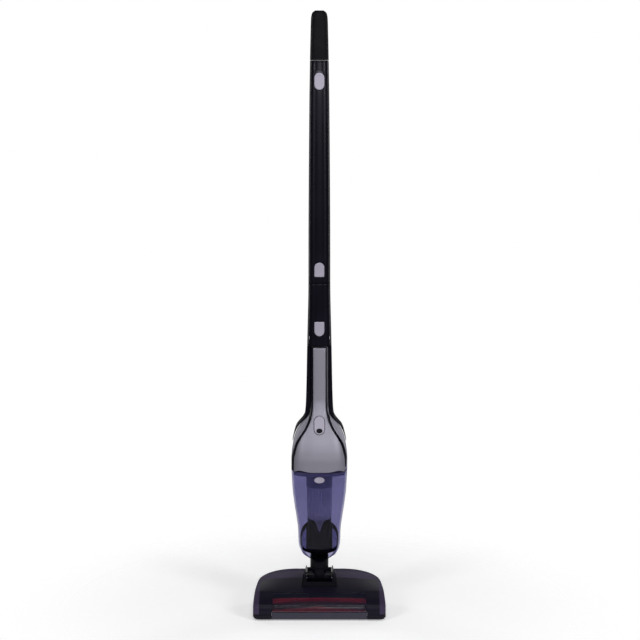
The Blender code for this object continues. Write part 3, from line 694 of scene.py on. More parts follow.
@dataclass(frozen=True)
class GrainPlastic(Finish):
    """Satin moulding with spark-eroded grain, paler where it is rubbed."""

    roughness: float = 0.42
    grain: float = 0.35
    scale: float = 1900.0

    def values(self, g: Graph) -> dict[str, Any]:
        """The shader's values."""
        fine = g.noise(self.scale, 3.0)
        worn = g.noise(24.0, 4.0).rise(0.48, 0.75)
        colour = g.blend(fine.rise(0.3, 0.7), tinted(self.colour, 0.88), tinted(self.colour, 1.12))
        colour = g.blend(worn * 0.3, colour, tinted(self.colour, 1.3))
        return dict(
            Base_Color=colour,
            Roughness=self.roughness + worn * 0.1 + fine * 0.06,
            Specular_IOR_Level=0.45,
            Normal=g.bump(fine, self.grain, 0.00012),
        )


@dataclass(frozen=True)
class SoftTouch(Finish):
    """Velvety rubber paint: matt, with a fine pebble grain and a dusty sheen."""

    def values(self, g: Graph) -> dict[str, Any]:
        """The shader's values."""
        pebbles = g.cells(1300.0)
        smear = g.noise(35.0, 3.0).rise(0.45, 0.75)
        colour = g.blend(pebbles.rise(0.1, 0.6), tinted(self.colour, 1.25), tinted(self.colour, 0.8))
        colour = g.blend(smear * 0.25, colour, tinted(self.colour, 1.7))
        return dict(
            Base_Color=colour, Roughness=0.62 - smear * 0.12, Specular_IOR_Level=0.12,
            Sheen_Weight=0.01, Sheen_Roughness=0.5, Normal=g.bump(1 - pebbles, 0.4, 0.00015),
        )


@dataclass(frozen=True)
class MetallicLacquer(Finish):
    """Silver lacquer: fine flakes under a satin clear coat."""

    metallic: float = 0.55

    def values(self, g: Graph) -> dict[str, Any]:
        """The shader's values."""
        flakes = g.cells(3200.0)
        drift = g.noise(14.0, 3.0)
        colour = g.blend(flakes.rise(0.15, 0.55), tinted(self.colour, 1.18), tinted(self.colour, 0.86))
        colour = g.blend(drift * 0.35, colour, tinted(self.colour, 0.9))
        return dict(
            Base_Color=colour, Metallic=self.metallic, Roughness=0.44 + flakes * 0.12 + drift * 0.06,
            Coat_Weight=0.2, Coat_Roughness=0.35, Normal=g.bump(flakes, 0.12, 0.00008),
        )


@dataclass(frozen=True)
class SmokeClear(Finish):
    """Clear plastic with a smoky violet tint, dust film inside and light scuffs."""

    roughness: float = 0.03

    def values(self, g: Graph) -> dict[str, Any]:
        """The shader's values."""
        film = g.noise(22.0, 4.0).rise(0.4, 0.75)
        scuff = g.noise(60.0, 3.0, g.stretched((30.0, 30.0, 2.0))).rise(0.62, 0.8)
        colour = g.blend(film * 0.5, self.colour, tinted(self.colour, 0.85))
        return dict(
            Base_Color=colour, Roughness=self.roughness + film * 0.03 + scuff * 0.05,
            Transmission_Weight=1.0, IOR=1.22,
            Normal=g.bump(g.noise(120.0, 1.0), 0.05, 0.0003),
        )


@dataclass(frozen=True)
class ThinSmoke(Finish):
    """A thin dark window that lets light straight through, with light scuffs along it."""

    cover: float = 0.35

    def values(self, g: Graph) -> dict[str, Any]:
        """The shader's values."""
        scuff = g.noise(80.0, 3.0, g.stretched((2.0, 20.0, 20.0))).rise(0.6, 0.8)
        film = g.noise(18.0, 3.0).rise(0.4, 0.75)
        return dict(
            Base_Color=g.blend(film * 0.6, self.colour, tinted(self.colour, 1.6)),
            Roughness=0.12 + film * 0.05 + scuff * 0.08, Specular_IOR_Level=0.25,
            Alpha=self.cover + film * 0.05 + scuff * 0.04,
            Normal=g.bump(g.noise(90.0, 1.0), 0.05, 0.0003),
        )


@dataclass(frozen=True)
class Bristle(Finish):
    """Nylon bristle: streaked red, with lint-grey tips."""

    def values(self, g: Graph) -> dict[str, Any]:
        """The shader's values."""
        streak = g.noise(1400.0, 2.0, g.stretched((1.0, 0.15, 0.15)))
        lint = g.noise(90.0, 3.0).rise(0.58, 0.8)
        colour = g.blend(streak.rise(0.3, 0.7), tinted(self.colour, 0.6), tinted(self.colour, 1.4))
        colour = g.blend(lint * 0.25, colour, (0.25, 0.2, 0.2))
        return dict(
            Base_Color=colour, Roughness=0.5 + streak * 0.15, Sheen_Weight=0.15,
            Normal=g.bump(streak, 0.5, 0.0002),
        )


@dataclass(frozen=True)
class RubberSkin(Finish):
    """Moulded rubber: dull black with a chalky bloom."""

    def values(self, g: Graph) -> dict[str, Any]:
        """The shader's values."""
        grit = g.noise(1100.0, 3.0)
        bloom = g.noise(50.0, 4.0).rise(0.45, 0.8)
        colour = g.blend(bloom * 0.5, self.colour, tinted(self.colour, 2.4))
        return dict(
            Base_Color=colour, Roughness=0.72 + grit * 0.15, Specular_IOR_Level=0.3,
            Normal=g.bump(grit, 0.4, 0.0002),
        )


@dataclass(frozen=True)
class BrushedMetal(Finish):
    """Drawn or turned metal with fine lines and a little tarnish."""

    lines: Colour = (40.0, 1.0, 1.0)

    def values(self, g: Graph) -> dict[str, Any]:
        """The shader's values."""
        line = g.noise(160.0, 3.0, g.stretched(self.lines))
        stain = g.noise(70.0, 4.0).rise(0.5, 0.8)
        colour = g.blend(line.rise(0.3, 0.7), tinted(self.colour, 0.8), tinted(self.colour, 1.15))
        colour = g.blend(stain * 0.4, colour, tinted(self.colour, 0.55))
        return dict(
            Base_Color=colour, Metallic=1.0, Roughness=0.24 + line * 0.14 + stain * 0.15,
            Normal=g.bump(line, 0.15, 0.0001),
        )


@dataclass(frozen=True)
class FilterCloth(Finish):
    """Non-woven filter cloth: pale fibre, darker towards its lower end."""

    darker_below: float

    def values(self, g: Graph) -> dict[str, Any]:
        """The shader's values."""
        fibre = g.noise(700.0, 5.0, g.stretched((1.0, 1.0, 0.35)), 1.5)
        # The mask named dust here darkens the cloth below a height, with a ragged edge.
        dust = (self.darker_below - g.axis("Z") + g.noise(60.0, 3.0) * 0.02).rise(0.0, 0.03)
        colour = g.blend(fibre.rise(0.35, 0.65), tinted(self.colour, 0.8), tinted(self.colour, 1.1))
        colour = g.blend(dust * 0.6, colour, (0.12, 0.11, 0.11))
        return dict(
            Base_Color=colour, Roughness=0.85 + fibre * 0.1, Sheen_Weight=0.2,
            Normal=g.bump(fibre, 0.6, 0.0003),
        )


@dataclass(frozen=True)
class CircuitBoard(Finish):
    """Solder mask with faint tracks and tinned pads."""

    def values(self, g: Graph) -> dict[str, Any]:
        """The shader's values."""
        tracks = ((g.axis("X") * 2600.0).wave() * (g.axis("Z") * 900.0).wave()).rise(0.55, 0.7)
        pads = (1 - g.cells(260.0)).rise(0.88, 0.9)
        colour = g.blend(tracks * 0.5, self.colour, tinted(self.colour, 2.2))
        colour = g.blend(pads, colour, (0.6, 0.6, 0.58))
        return dict(
            Base_Color=colour, Metallic=pads * 0.9, Roughness=0.45 - pads * 0.2,
            Normal=g.bump(tracks + pads, 0.2, 0.0002),
        )


@dataclass(frozen=True)
class StudioFloor:
    """Pale matt floor that fades out far from the object."""

    colour: Colour
    fade_from: float
    fade_to: float
    glow: float = 0.3

    def material(self, name: str) -> bpy.types.Material:
        """Builds the material."""
        g = Graph(name)
        fleck = g.noise(40.0, 4.0)
        colour = g.blend(fleck, tinted(self.colour, 0.985), self.colour)
        base = g.node("ShaderNodeBsdfPrincipled", None, {
            "Base Color": colour, "Roughness": 0.6 + fleck * 0.1, "Specular IOR Level": 0.2,
            "Emission Color": (1.0, 1.0, 1.0, 1.0), "Emission Strength": self.glow,
        })
        far = (g.axis("X") ** 2.0 + g.axis("Y") ** 2.0) ** 0.5
        clear = g.node("ShaderNodeBsdfTransparent")
        mixed = g.node("ShaderNodeMixShader", None, {
            0: far.rise(self.fade_from, self.fade_to), 1: Value(g, base.outputs[0]),
            2: Value(g, clear.outputs[0]),
        })
        g.node("ShaderNodeOutputMaterial", None, {"Surface": Value(g, mixed.outputs[0])})
        return g.material


# A darker copy of the gloss black: painted shade for the neck, the pivot housing, the yoke and the duct.
SHADED_GLOSS_BLACK = GlossPlastic((0.0028, 0.0024, 0.0052), level=0.09)
FINISHES: dict[Slot, Any] = {
    Slot.GLOSS_BLACK: GlossPlastic((0.0045, 0.0036, 0.0090), level=0.15),
    Slot.SOFT_GRIP: SoftTouch((0.0030, 0.0026, 0.0048)),
    Slot.SOFT_BLACK: GrainPlastic((0.014, 0.014, 0.016), 0.55),
    Slot.DARK_PLASTIC: GrainPlastic((0.045, 0.042, 0.058), 0.4),
    Slot.SILVER_PANEL: MetallicLacquer((0.36, 0.35, 0.42)),
    Slot.BUTTON_GREY: GrainPlastic((0.42, 0.39, 0.48), 0.42, 0.15),
    Slot.SMOKE_CLEAR: SmokeClear((0.35, 0.34, 0.51)),
    Slot.BRUSH_RED: Bristle((0.70, 0.022, 0.05)),
    Slot.RUBBER: RubberSkin((0.016, 0.016, 0.017)),
    Slot.STEEL: BrushedMetal((0.52, 0.52, 0.54)),
    Slot.WINDING: BrushedMetal((0.60, 0.27, 0.13), (1.0, 1.0, 30.0)),
    Slot.FILTER_CLOTH: FilterCloth((0.42, 0.42, 0.50), 0.185),
    Slot.CELL_WRAP: GlossPlastic((0.012, 0.020, 0.05), 0.3),
    Slot.BOARD: CircuitBoard((0.02, 0.14, 0.05)),
}


# The bench: frame, finishes and finished pieces


@dataclass(frozen=True)
class Datum:
    """Where the layout's zero lies in the frame: the floor point below the tilt pivot."""

    back: float

    def place(self, point: Vector) -> Vector:
        """A layout point in metres of the frame."""
        return Vector((point.x * MM, point.y * MM + self.back, point.z * MM))


class Bench:
    """Turns working solids into finished pieces that ride on the frame's bodies."""

    def __init__(self, frame: Mapping[str, Any]) -> None:
        """Reads where things are from the frame.
        """
        joints = {joint["name"]: joint for joint in frame["joints"]}
        self.nodes = frame["nodes"]
        self.datum = Datum(joints["stick_tilt"]["pos_m"][1])
        self.materials = {slot: finish.material(slot.value) for slot, finish in FINISHES.items()}
        # The darker copy of the gloss black, which paints shade on the low parts and the duct.
        self.shaded_gloss_black = SHADED_GLOSS_BLACK.material("shaded_gloss_black")
        self.pieces: list[bpy.types.Object] = []

    def finish(self, solid: Solid, name: str, body: str, slot: Slot, replaces: Iterable[str] = (),
               crease: float = 34.0, material: bpy.types.Material | None = None) -> None:
        """Makes a piece of a working solid.

        Args:
            solid: the working mesh, which is used up.
            name: the piece's name.
            body: the frame's body on which it rides.
            slot: the record's slot for its finish.
            replaces: the frame's nodes that it stands for.
            crease: angle in degrees above which an edge stays sharp.
            material: a finish of its own, if the slot's isn't used.
        """
        for vert in solid.work.verts:
            vert.co = self.datum.place(vert.co)
        mesh = bpy.data.meshes.new(name)
        solid.work.to_mesh(mesh)
        solid.work.free()
        mesh.shade_smooth()
        mesh.set_sharp_from_angle(angle=math.radians(crease))
        mesh.materials.append(material or self.materials[slot])
        obj = bpy.data.objects.new(name, mesh)
        bpy.context.scene.collection.objects.link(obj)
        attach(obj, body)
        if replaces:
            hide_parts(*replaces)
        self.pieces.append(obj)
        log.info("%s on %s: %d faces", name, body, len(mesh.polygons))

    def dress(self, slot: Slot, *names: str) -> None:
        """Gives nodes of the frame that stay in view their finish."""
        for name in names:
            node = self.nodes[name]
            node.data.materials.clear()
            node.data.materials.append(self.materials[slot])
            log.info("%s keeps its frame mesh, in %s", name, slot.value)


# Shared outlines

STICK = Form((
    (498, 22.3, -21.5, 22.0), (520, 21.8, -21.0, 20.0), (612, 19.9, -20.0, 18.0), (700, 19.7, -19.5, 18.0),
    (900, 18.3, -18.5, 17.5), (950, 17.8, -17.5, 18.0), (980, 17.3, -15.0, 19.8), (1012, 16.8, -11.0, 23.0),
    (1060, 15.8, -2.5, 30.0), (1086, 15.0, 3.5, 35.0), (1096, 12.8, 8.0, 34.0), (1100, 8.0, 13.0, 30.0),
), 2.6)
SPINE = Form((
    (122, 21.5, 0, 33.0), (160, 22.5, 0, 36.0), (400, 22.5, 0, 36.0), (450, 22.0, 0, 31.0),
    (498, 22.0, 0, 22.5),
), 3.2)
BODY = Form((
    (272, 51.2, -60.0, 7.6), (290, 51.2, -60.0, 7.6), (305, 50.3, -58.5, 7.6), (320, 48.2, -55.5, 7.6),
    (335, 44.6, -50.5, 7.6), (350, 37.2, -43.0, 7.6), (358, 30.0, -38.5, 7.6), (366, 22.0, -34.0, 7.6),
    (372, 18.5, -31.0, 7.6), (385, 16.4, -27.0, 7.6), (400, 16.0, -24.5, 7.6), (498, 15.6, -22.0, 6.6),
), 2.8)
CUP = Form((
    (97.6, 17.5, -21.0, 4.0), (110, 32.0, -32.0, 7.6), (131, 38.3, -42.0, 7.6), (157, 39.2, -46.0, 7.6),
    (183, 42.3, -50.0, 7.6), (205, 45.5, -54.0, 7.6), (235, 49.0, -58.0, 7.6), (272, 51.0, -60.0, 7.6),
), 2.8)
PANEL_HALF = Profile((
    (268, 47.5), (272, 47.5), (293, 47.2), (305, 44.8), (320, 40.7), (335, 32.7), (350, 22.7),
    (366, 15.7), (385, 12.6), (400, 12.2), (502, 12.2),
))
PARTING = Profile(((268, -26.0), (335, -24.0), (372, -12.0), (385, -8.0), (502, -8.0)))
RAIL_OUTER = Profile((
    (315, 49.9), (320, 49.4), (335, 46.5), (350, 41.5), (357.5, 35.5), (365, 29.5), (372, 26.4),
    (400, 24.5), (497.6, 22.3),
))
HEAD = Profile((
    (-82, 113.0, 19.0), (-80.5, 118.5, 25.0), (-76, 121.5, 30.0), (-46, 120.5, 41.5), (0, 117.0, 52.5),
    (25, 112.5, 57.0), (36, 105.0, 58.0), (43, 92.0, 59.0), (47, 72.0, 59.5), (49, 50.0, 59.0),
))
SEAM = 3.3  # how far the stick's side seams stand in from its outline
STEM_TOP = 612.0
GRIP_START = 1012.0
DOCK_Y = 8.2
PIVOT_Z = 62.0


def panel_wave(x: float) -> float:
    """How far the edge between cup and panel rises at this distance from the middle."""
    share = min(abs(x), 46.5) / 46.5
    return 2.8 * math.sin(math.pi * share**2.4) ** 2


def spread(low: float, high: float, steps: int) -> list[float]:
    """Evenly spaced values from low to high, both included."""
    return [low + (high - low) * step / steps for step in range(steps + 1)]


class Docking:
    """The slope on which the nozzle of the hand-held unit rests on its neck."""

    low_point = Vector((0.0, -13.0, 97.6))
    turn = Matrix.Rotation(math.radians(45), 4, "X")

    @classmethod
    def above(cls, offset: float) -> Solid:
        """All that is more than an offset above the slope."""
        made = Solid.block((-70, -70, offset), (70, 70, offset + 90))
        return made.placed(Matrix.Translation(cls.low_point) @ cls.turn)

    @classmethod
    def below(cls) -> Solid:
        """All that is below the slope."""
        made = Solid.block((-90, -90, -90), (90, 90, 0))
        return made.placed(Matrix.Translation(cls.low_point) @ cls.turn)

    @classmethod
    def ring(cls, across: float, along: float, low: float, high: float) -> Solid:
        """An oval column that stands on the slope, between two distances from it."""
        form = Form(((low, across, -along, along), (high, across, -along, along)), 2.4)
        middle = cls.low_point + Vector((0, 1, 1)).normalized() * 14.5
        made = Solid.tube(form, low, high, around=64, along=2)
        return made.placed(Matrix.Translation(middle) @ cls.turn)


def screw(height: float) -> Solid:
    """A countersunk screw with a cross recess, seen on the back of the spine."""
    depth = SPINE.profile(height)[2]
    outline = (
        (0, -8), (1.6, -8), (1.6, -2.2), (2.9, -0.7), (3.0, -0.2), (2.8, 0.1), (2.0, 0.22), (0, 0.22),
    )
    head = Solid.turned(outline, (0, depth, height), (0, 1, 0), count=48)
    bars = [Solid.block((-a, depth - 0.9, height - b), (a, depth + 2, height + b))
            for a, b in ((0.35, 1.7), (1.7, 0.35))]
    return head.cut(*bars)


@dataclass(frozen=True)
class Frame:
    """The upright frame that carries the hand-held unit: neck, spine, stem, rails and release."""

    bench: Bench
    cover_inset: float = SEAM
    release: tuple[float, float, float] = (9.0, 517.0, 543.0)
    screws: tuple[tuple[str, float], ...] = (("lower", 180.0), ("upper", 420.0))

    def build(self) -> None:
        """Builds every piece of the frame."""
        self.neck()
        self.shell()
        self.front_cover()
        self.release_button()
        self.rails()
        for hand, height in self.screws:
            name = f"spine_screw_{hand}"
            self.bench.finish(screw(height), f"{name}_head", "frame", Slot.STEEL, [name])
        self.bench.dress(Slot.RUBBER, "dock_gasket")
        self.bench.dress(Slot.STEEL, "dock_latch", "dock_latch_spring")
        self.bench.dress(Slot.SOFT_BLACK, "frame_wire")
        self.bench.dress(Slot.DARK_PLASTIC, "spine_front_cover")

    def neck(self) -> None:
        """The neck whose sloping top carries the nozzle."""
        form = Form((
            (80.4, 17.0, -17.0, 17.0), (96, 17.0, -17.0, 17.0), (104, 17.5, -17.0, 22.0),
            (121.7, 21.0, -17.0, 32.5),
        ), 2.2)
        solid = Solid.tube(form, 80.4, 121.7, around=80, along=30)
        solid.joined(Solid.rod((0, 0, 67), (0, 0, 90), 12.0, 64))
        solid.cut(
            Docking.above(-2.1), Solid.block((-60, -60, 100), (60, DOCK_Y, 160)),
            Solid.rod((0, 0, 60), (0, 0, 130), 9.5, 56),
        )
        self.bench.finish(
            solid.softened(0.35), "neck_moulding", "frame", Slot.GLOSS_BLACK, ["cradle_neck"],
            material=self.bench.shaded_gloss_black,
        )

    def cover_region(self, inset: float, back: float) -> Solid:
        """The part of the stem's front inside its side seams."""
        rows = [(z, STICK.profile(z)[0] - inset, -40.0, back) for z in spread(497, 616, 16)]
        return Solid.slab(rows)

    def shell(self) -> None:
        """The rear shell: the spine with the lower stem."""
        solid = Solid.tube(STICK, 498, STEM_TOP - GAP, around=96, along=48)
        spine = Solid.tube(SPINE, 122, 505, around=96, along=64)
        spine.cut(Solid.block((-60, -60, 100), (60, DOCK_Y + GAP, 498)))
        solid.joined(spine)
        seat = [(z, SPINE.profile(z)[0] - 4.0, -30.0, DOCK_Y + 4.0) for z in spread(127, 495.5, 24)]
        bores = [Solid.rod((0, 20, z), (0, 50, z), 3.3, 32) for _, z in self.screws]
        solid.cut(
            Solid.tube(STICK, 500.5, 640, -WALL, 96, 40),
            Solid.tube(SPINE, 124.5, 512, -WALL, 96, 48),
            self.cover_region(self.cover_inset, -6.0), Solid.slab(seat),
            Solid.block((-40, -40, 499.9), (40, -6, 501)), *bores,
        )
        self.bench.finish(
            solid.softened(0.3), "frame_shell", "frame", Slot.GLOSS_BLACK, ["frame_rear_shell"]
        )

    def front_cover(self) -> None:
        """The cover on the front of the stem, with the hole of the release button."""
        half, low, high = self.release
        hole = pill(half, low, high, -GAP, round_top=False, steps=20)
        solid = Solid.tube(STICK, 498, STEM_TOP - GAP, around=96, along=48)
        solid.cut(Solid.tube(STICK, 490, 640, -WALL, 96, 48))
        solid.kept(self.cover_region(self.cover_inset + GAP, -6.3))
        solid.cut(Solid.prism(hole, -40, 0))
        self.bench.finish(
            solid.softened(0.3), "stem_cover", "frame", Slot.GLOSS_BLACK, ["stem_front_cover"]
        )

    def release_button(self) -> None:
        """The button that frees the hand-held unit."""
        outline = partial(pill, *self.release, round_top=False, steps=20)
        solid = press_cap(STICK, outline, 0.5, -15.5, 0.9, 0.25, 7.0)
        self.bench.finish(
            solid, "dock_release_cap", "dock_release", Slot.BUTTON_GREY, ["dock_release_button"]
        )

    def rails(self) -> None:
        """The two rails that embrace the neck of the hand-held unit."""
        for side, hand in SIDES:
            rings = []
            for height in spread(322, 497.6, 72):
                inner, outer = BODY.profile(height)[0] + 0.5, RAIL_OUTER(height)[0]
                outer = max(outer, inner + 0.5)
                radius = min(3.0, (outer - inner) * 0.8)
                turns = [math.pi / 2 * step / 8 for step in range(9)]
                corner = [(outer - radius * (1 - math.sin(t)), -14 + radius * (1 - math.cos(t)))
                          for t in turns]
                plan = [(inner, DOCK_Y - 0.1), (inner, -6.0), (inner, -13.7), (inner + 0.2, -14.0),
                        *corner, (outer, -3.0), (outer, DOCK_Y - 0.5), (outer - 0.4, DOCK_Y - 0.1)]
                rings.append([Vector((side * x, y, height)) for x, y in plan])
            name = f"cradle_rail_{hand}"
            self.bench.finish(
                Solid.through(rings), f"rail_{hand}", "frame", Slot.GLOSS_BLACK, [name]
            )


@dataclass(frozen=True)
class Handle:
    """The handle above the stem: shells, matt grip, power slider and release button."""

    bench: Bench
    release: tuple[float, float, float] = (9.0, 625.0, 651.0)
    slider: tuple[float, float, float] = (9.0, 960.0, 990.0)
    opening: Profile = field(default_factory=lambda: Profile((
        (600, -5.5), (900, -4.5), (960, -3.0), (1009, 3.5), (1030, 6.0))))

    def build(self) -> None:
        """Builds every piece of the handle."""
        self.shell()
        self.cover()
        self.grip()
        self.power_slider()
        self.release_button()
        self.bench.dress(Slot.DARK_PLASTIC, "handle_spigot")
        self.bench.dress(Slot.BOARD, "switch_board")
        self.bench.dress(Slot.STEEL, "handle_release_spring")

    def region(self, inset: float, high: float, shift: float) -> Solid:
        """The part of the handle's front inside its side seams."""
        rows = [(z, STICK.profile(z)[0] - inset, -50.0, self.opening(z)[0] - shift)
                for z in spread(600, high, 40)]
        return Solid.slab(rows)

    def shell(self) -> None:
        """The rear shell of the handle."""
        solid = Solid.tube(STICK, STEM_TOP + GAP, GRIP_START, around=96, along=100)
        solid.cut(Solid.tube(STICK, 600, 1008, -WALL, 96, 90), self.region(SEAM, 1009, 0.0))
        self.bench.finish(
            solid.softened(0.15), "handle_shell", "handle", Slot.GLOSS_BLACK, ["handle_rear_shell"]
        )

    def cover(self) -> None:
        """The front cover, with the slider's track and the release button's hole."""
        half, low, high = self.slider
        arch_half, arch_low, arch_high = self.release
        solid = Solid.tube(STICK, STEM_TOP + GAP, GRIP_START, around=96, along=100)
        solid.cut(Solid.tube(STICK, 590, 1030, -WALL, 96, 100))
        solid.kept(self.region(SEAM + GAP, 1008.7, GAP))
        solid.cut(
            Solid.prism(pill(half + 0.4, low - 0.6, high + 5.6, steps=20), -40, 5),
            Solid.prism(pill(arch_half, arch_low, arch_high, -GAP, round_bottom=False, steps=20), -40, 0),
        )
        self.bench.finish(
            solid.softened(0.15), "handle_cover", "handle", Slot.GLOSS_BLACK, ["handle_front_cover"]
        )

    def grip(self) -> None:
        """The soft grip with its domed end."""
        heights = spread(GRIP_START + GAP, 1086, 40) + [
            1086 + 14 * math.sin(math.pi / 2 * step / 14) for step in range(1, 15)]
        turns = [2 * math.pi * (step + 0.5) / 96 for step in range(96)]
        rings = [[STICK.point(t, z, -0.5) for t in turns] for z in heights[:1]]
        rings += [[STICK.point(t, z + 0.5 if z == heights[0] else z) for t in turns] for z in heights]
        middle = Vector((0, 21.5, 1100.3))
        rings += [[point.lerp(middle, share) for point in rings[-1]] for share in (0.35, 0.65, 0.9)]
        self.bench.finish(Solid.through(rings), "grip", "handle", Slot.SOFT_GRIP, ["grip_sleeve"])

    def power_slider(self) -> None:
        """The power slider, with the black skirt that closes its track."""
        half, low, high = self.slider
        outline = partial(pill, half, low, high, steps=24)
        solid = press_cap(STICK, outline, 1.0, -11.0, 1.0, 0.7, 7.5)
        self.bench.finish(solid, "power_slider_cap", "power_slider", Slot.BUTTON_GREY, ["power_slider"])
        skirt = wall_sheet(STICK, half + 1.6, low - 7, high + 12, -3.1, 0.8)
        self.bench.finish(skirt, "power_slider_skirt", "power_slider", Slot.DARK_PLASTIC)

    def release_button(self) -> None:
        """The button that frees the handle from the stem."""
        outline = partial(pill, *self.release, round_bottom=False, steps=20)
        solid = press_cap(STICK, outline, 0.5, -14.5, 0.9, 0.25, 7.0)
        name = "handle_release_button"
        self.bench.finish(solid, "handle_release_cap", name, Slot.BUTTON_GREY, [name])


@dataclass(frozen=True)
class HandUnit:
    """The hand-held unit above its cup: shells, trim, panel, power button and what they enclose."""

    bench: Bench
    top: float = 497.6
    bottom: float = 272.2
    trim: float = 3.6
    switch: tuple[float, float, float] = (9.7, 340.0, 371.0)
    lens: tuple[float, float, float] = (346.5, 5.4, 3.8)

    def build(self) -> None:
        """Builds every piece of the unit."""
        self.side_shells()
        self.edge_trim()
        self.panel()
        self.power_button()
        self.bench.dress(Slot.BOARD, "control_board")
        self.bench.dress(Slot.CELL_WRAP, "battery_cell_left", "battery_cell_right")
        self.bench.dress(Slot.DARK_PLASTIC, "motor_housing")
        self.bench.dress(Slot.WINDING, "motor_fan_rotor")

    def body(self, grow: float = 0.0, low: float = 0.0, high: float = 0.0) -> Solid:
        """The unit's outer form, moved outwards, with shifted ends."""
        return Solid.tube(BODY, self.bottom + low, self.top + high, grow, 112, 110)

    def front(self, margin: float, shift: float) -> Solid:
        """The panel's outline, widened by a margin, as far back as the parting line."""
        heights = spread(PANEL_HALF.stops[0], PANEL_HALF.stops[-1], 80)
        rows = [(z, PANEL_HALF(z)[0] + margin, -80.0, PARTING(z)[0] + shift) for z in heights]
        return Solid.slab(rows)

    def side_shells(self) -> None:
        """The two silver side shells, which meet in the middle of the back."""
        for side, hand in SIDES:
            near, far = sorted((side * GAP / 2, side * 80.0))
            solid = self.body()
            solid.cut(self.body(-WALL, -8, -2.5), self.front(self.trim + GAP, GAP))
            solid.kept(Solid.block((near, -90, 250), (far, 40, 520)))
            name = f"side_shell_{hand}"
            self.bench.finish(
                solid.softened(0.25), f"side_{hand}", "hand_unit", Slot.SILVER_PANEL, [name]
            )

    def edge_trim(self) -> None:
        """The black bead round the panel, with the bar across its top."""
        solid = self.body(0.45)
        solid.cut(self.body(-WALL, -8, 8))
        solid.kept(self.front(self.trim, 0.0))
        solid.cut(self.front(-0.7, 20.0))
        solid.joined(Solid.block((-15, -21, 495.2), (15, -10, 497.2)))
        self.bench.finish(solid.softened(0.5, 3), "trim", "hand_unit", Slot.GLOSS_BLACK, ["panel_trim"])

    def panel(self) -> None:
        """The silver panel, with the hole of the power button and a waved lower edge."""
        half, low, high = self.switch
        wave = [(x, self.bottom + panel_wave(x)) for x in spread(60, -60, 60)]
        solid = self.body(0.0, 0.0, -3.0)
        solid.cut(self.body(-WALL, -8, 20)).kept(self.front(-1.0, -4.0))
        solid.cut(
            Solid.prism(pill(half, low, high, -0.8, steps=24), -80, 0),
            Solid.prism([*wave, (-60, 260), (60, 260)], -80, 0),
        )
        self.bench.finish(
            solid.softened(0.3), "panel", "hand_unit", Slot.SILVER_PANEL, ["front_panel"]
        )

    def power_button(self) -> None:
        """The pill-shaped power button with its dark lens."""
        def outline(inset: float) -> list[tuple[float, float]]:
            """The button's outline, a little inside its hole."""
            return pill(*self.switch, inset + 0.2, steps=24)

        solid = press_cap(BODY, outline, 0.4, -26.0, 0.9, 0.4, 8.0)
        solid.cut(Solid.prism(ellipse(*self.lens, -GAP, 48), -80, 0))
        self.bench.finish(solid, "power_cap", "power_button", Slot.BUTTON_GREY, ["power_button"])

        lens = press_cap(BODY, partial(ellipse, *self.lens, steps=48), 0.3, -28.0, 0.6, 0.0, 3.2)
        self.bench.finish(lens, "power_lens", "power_button", Slot.GLOSS_BLACK, ["indicator_lens"])


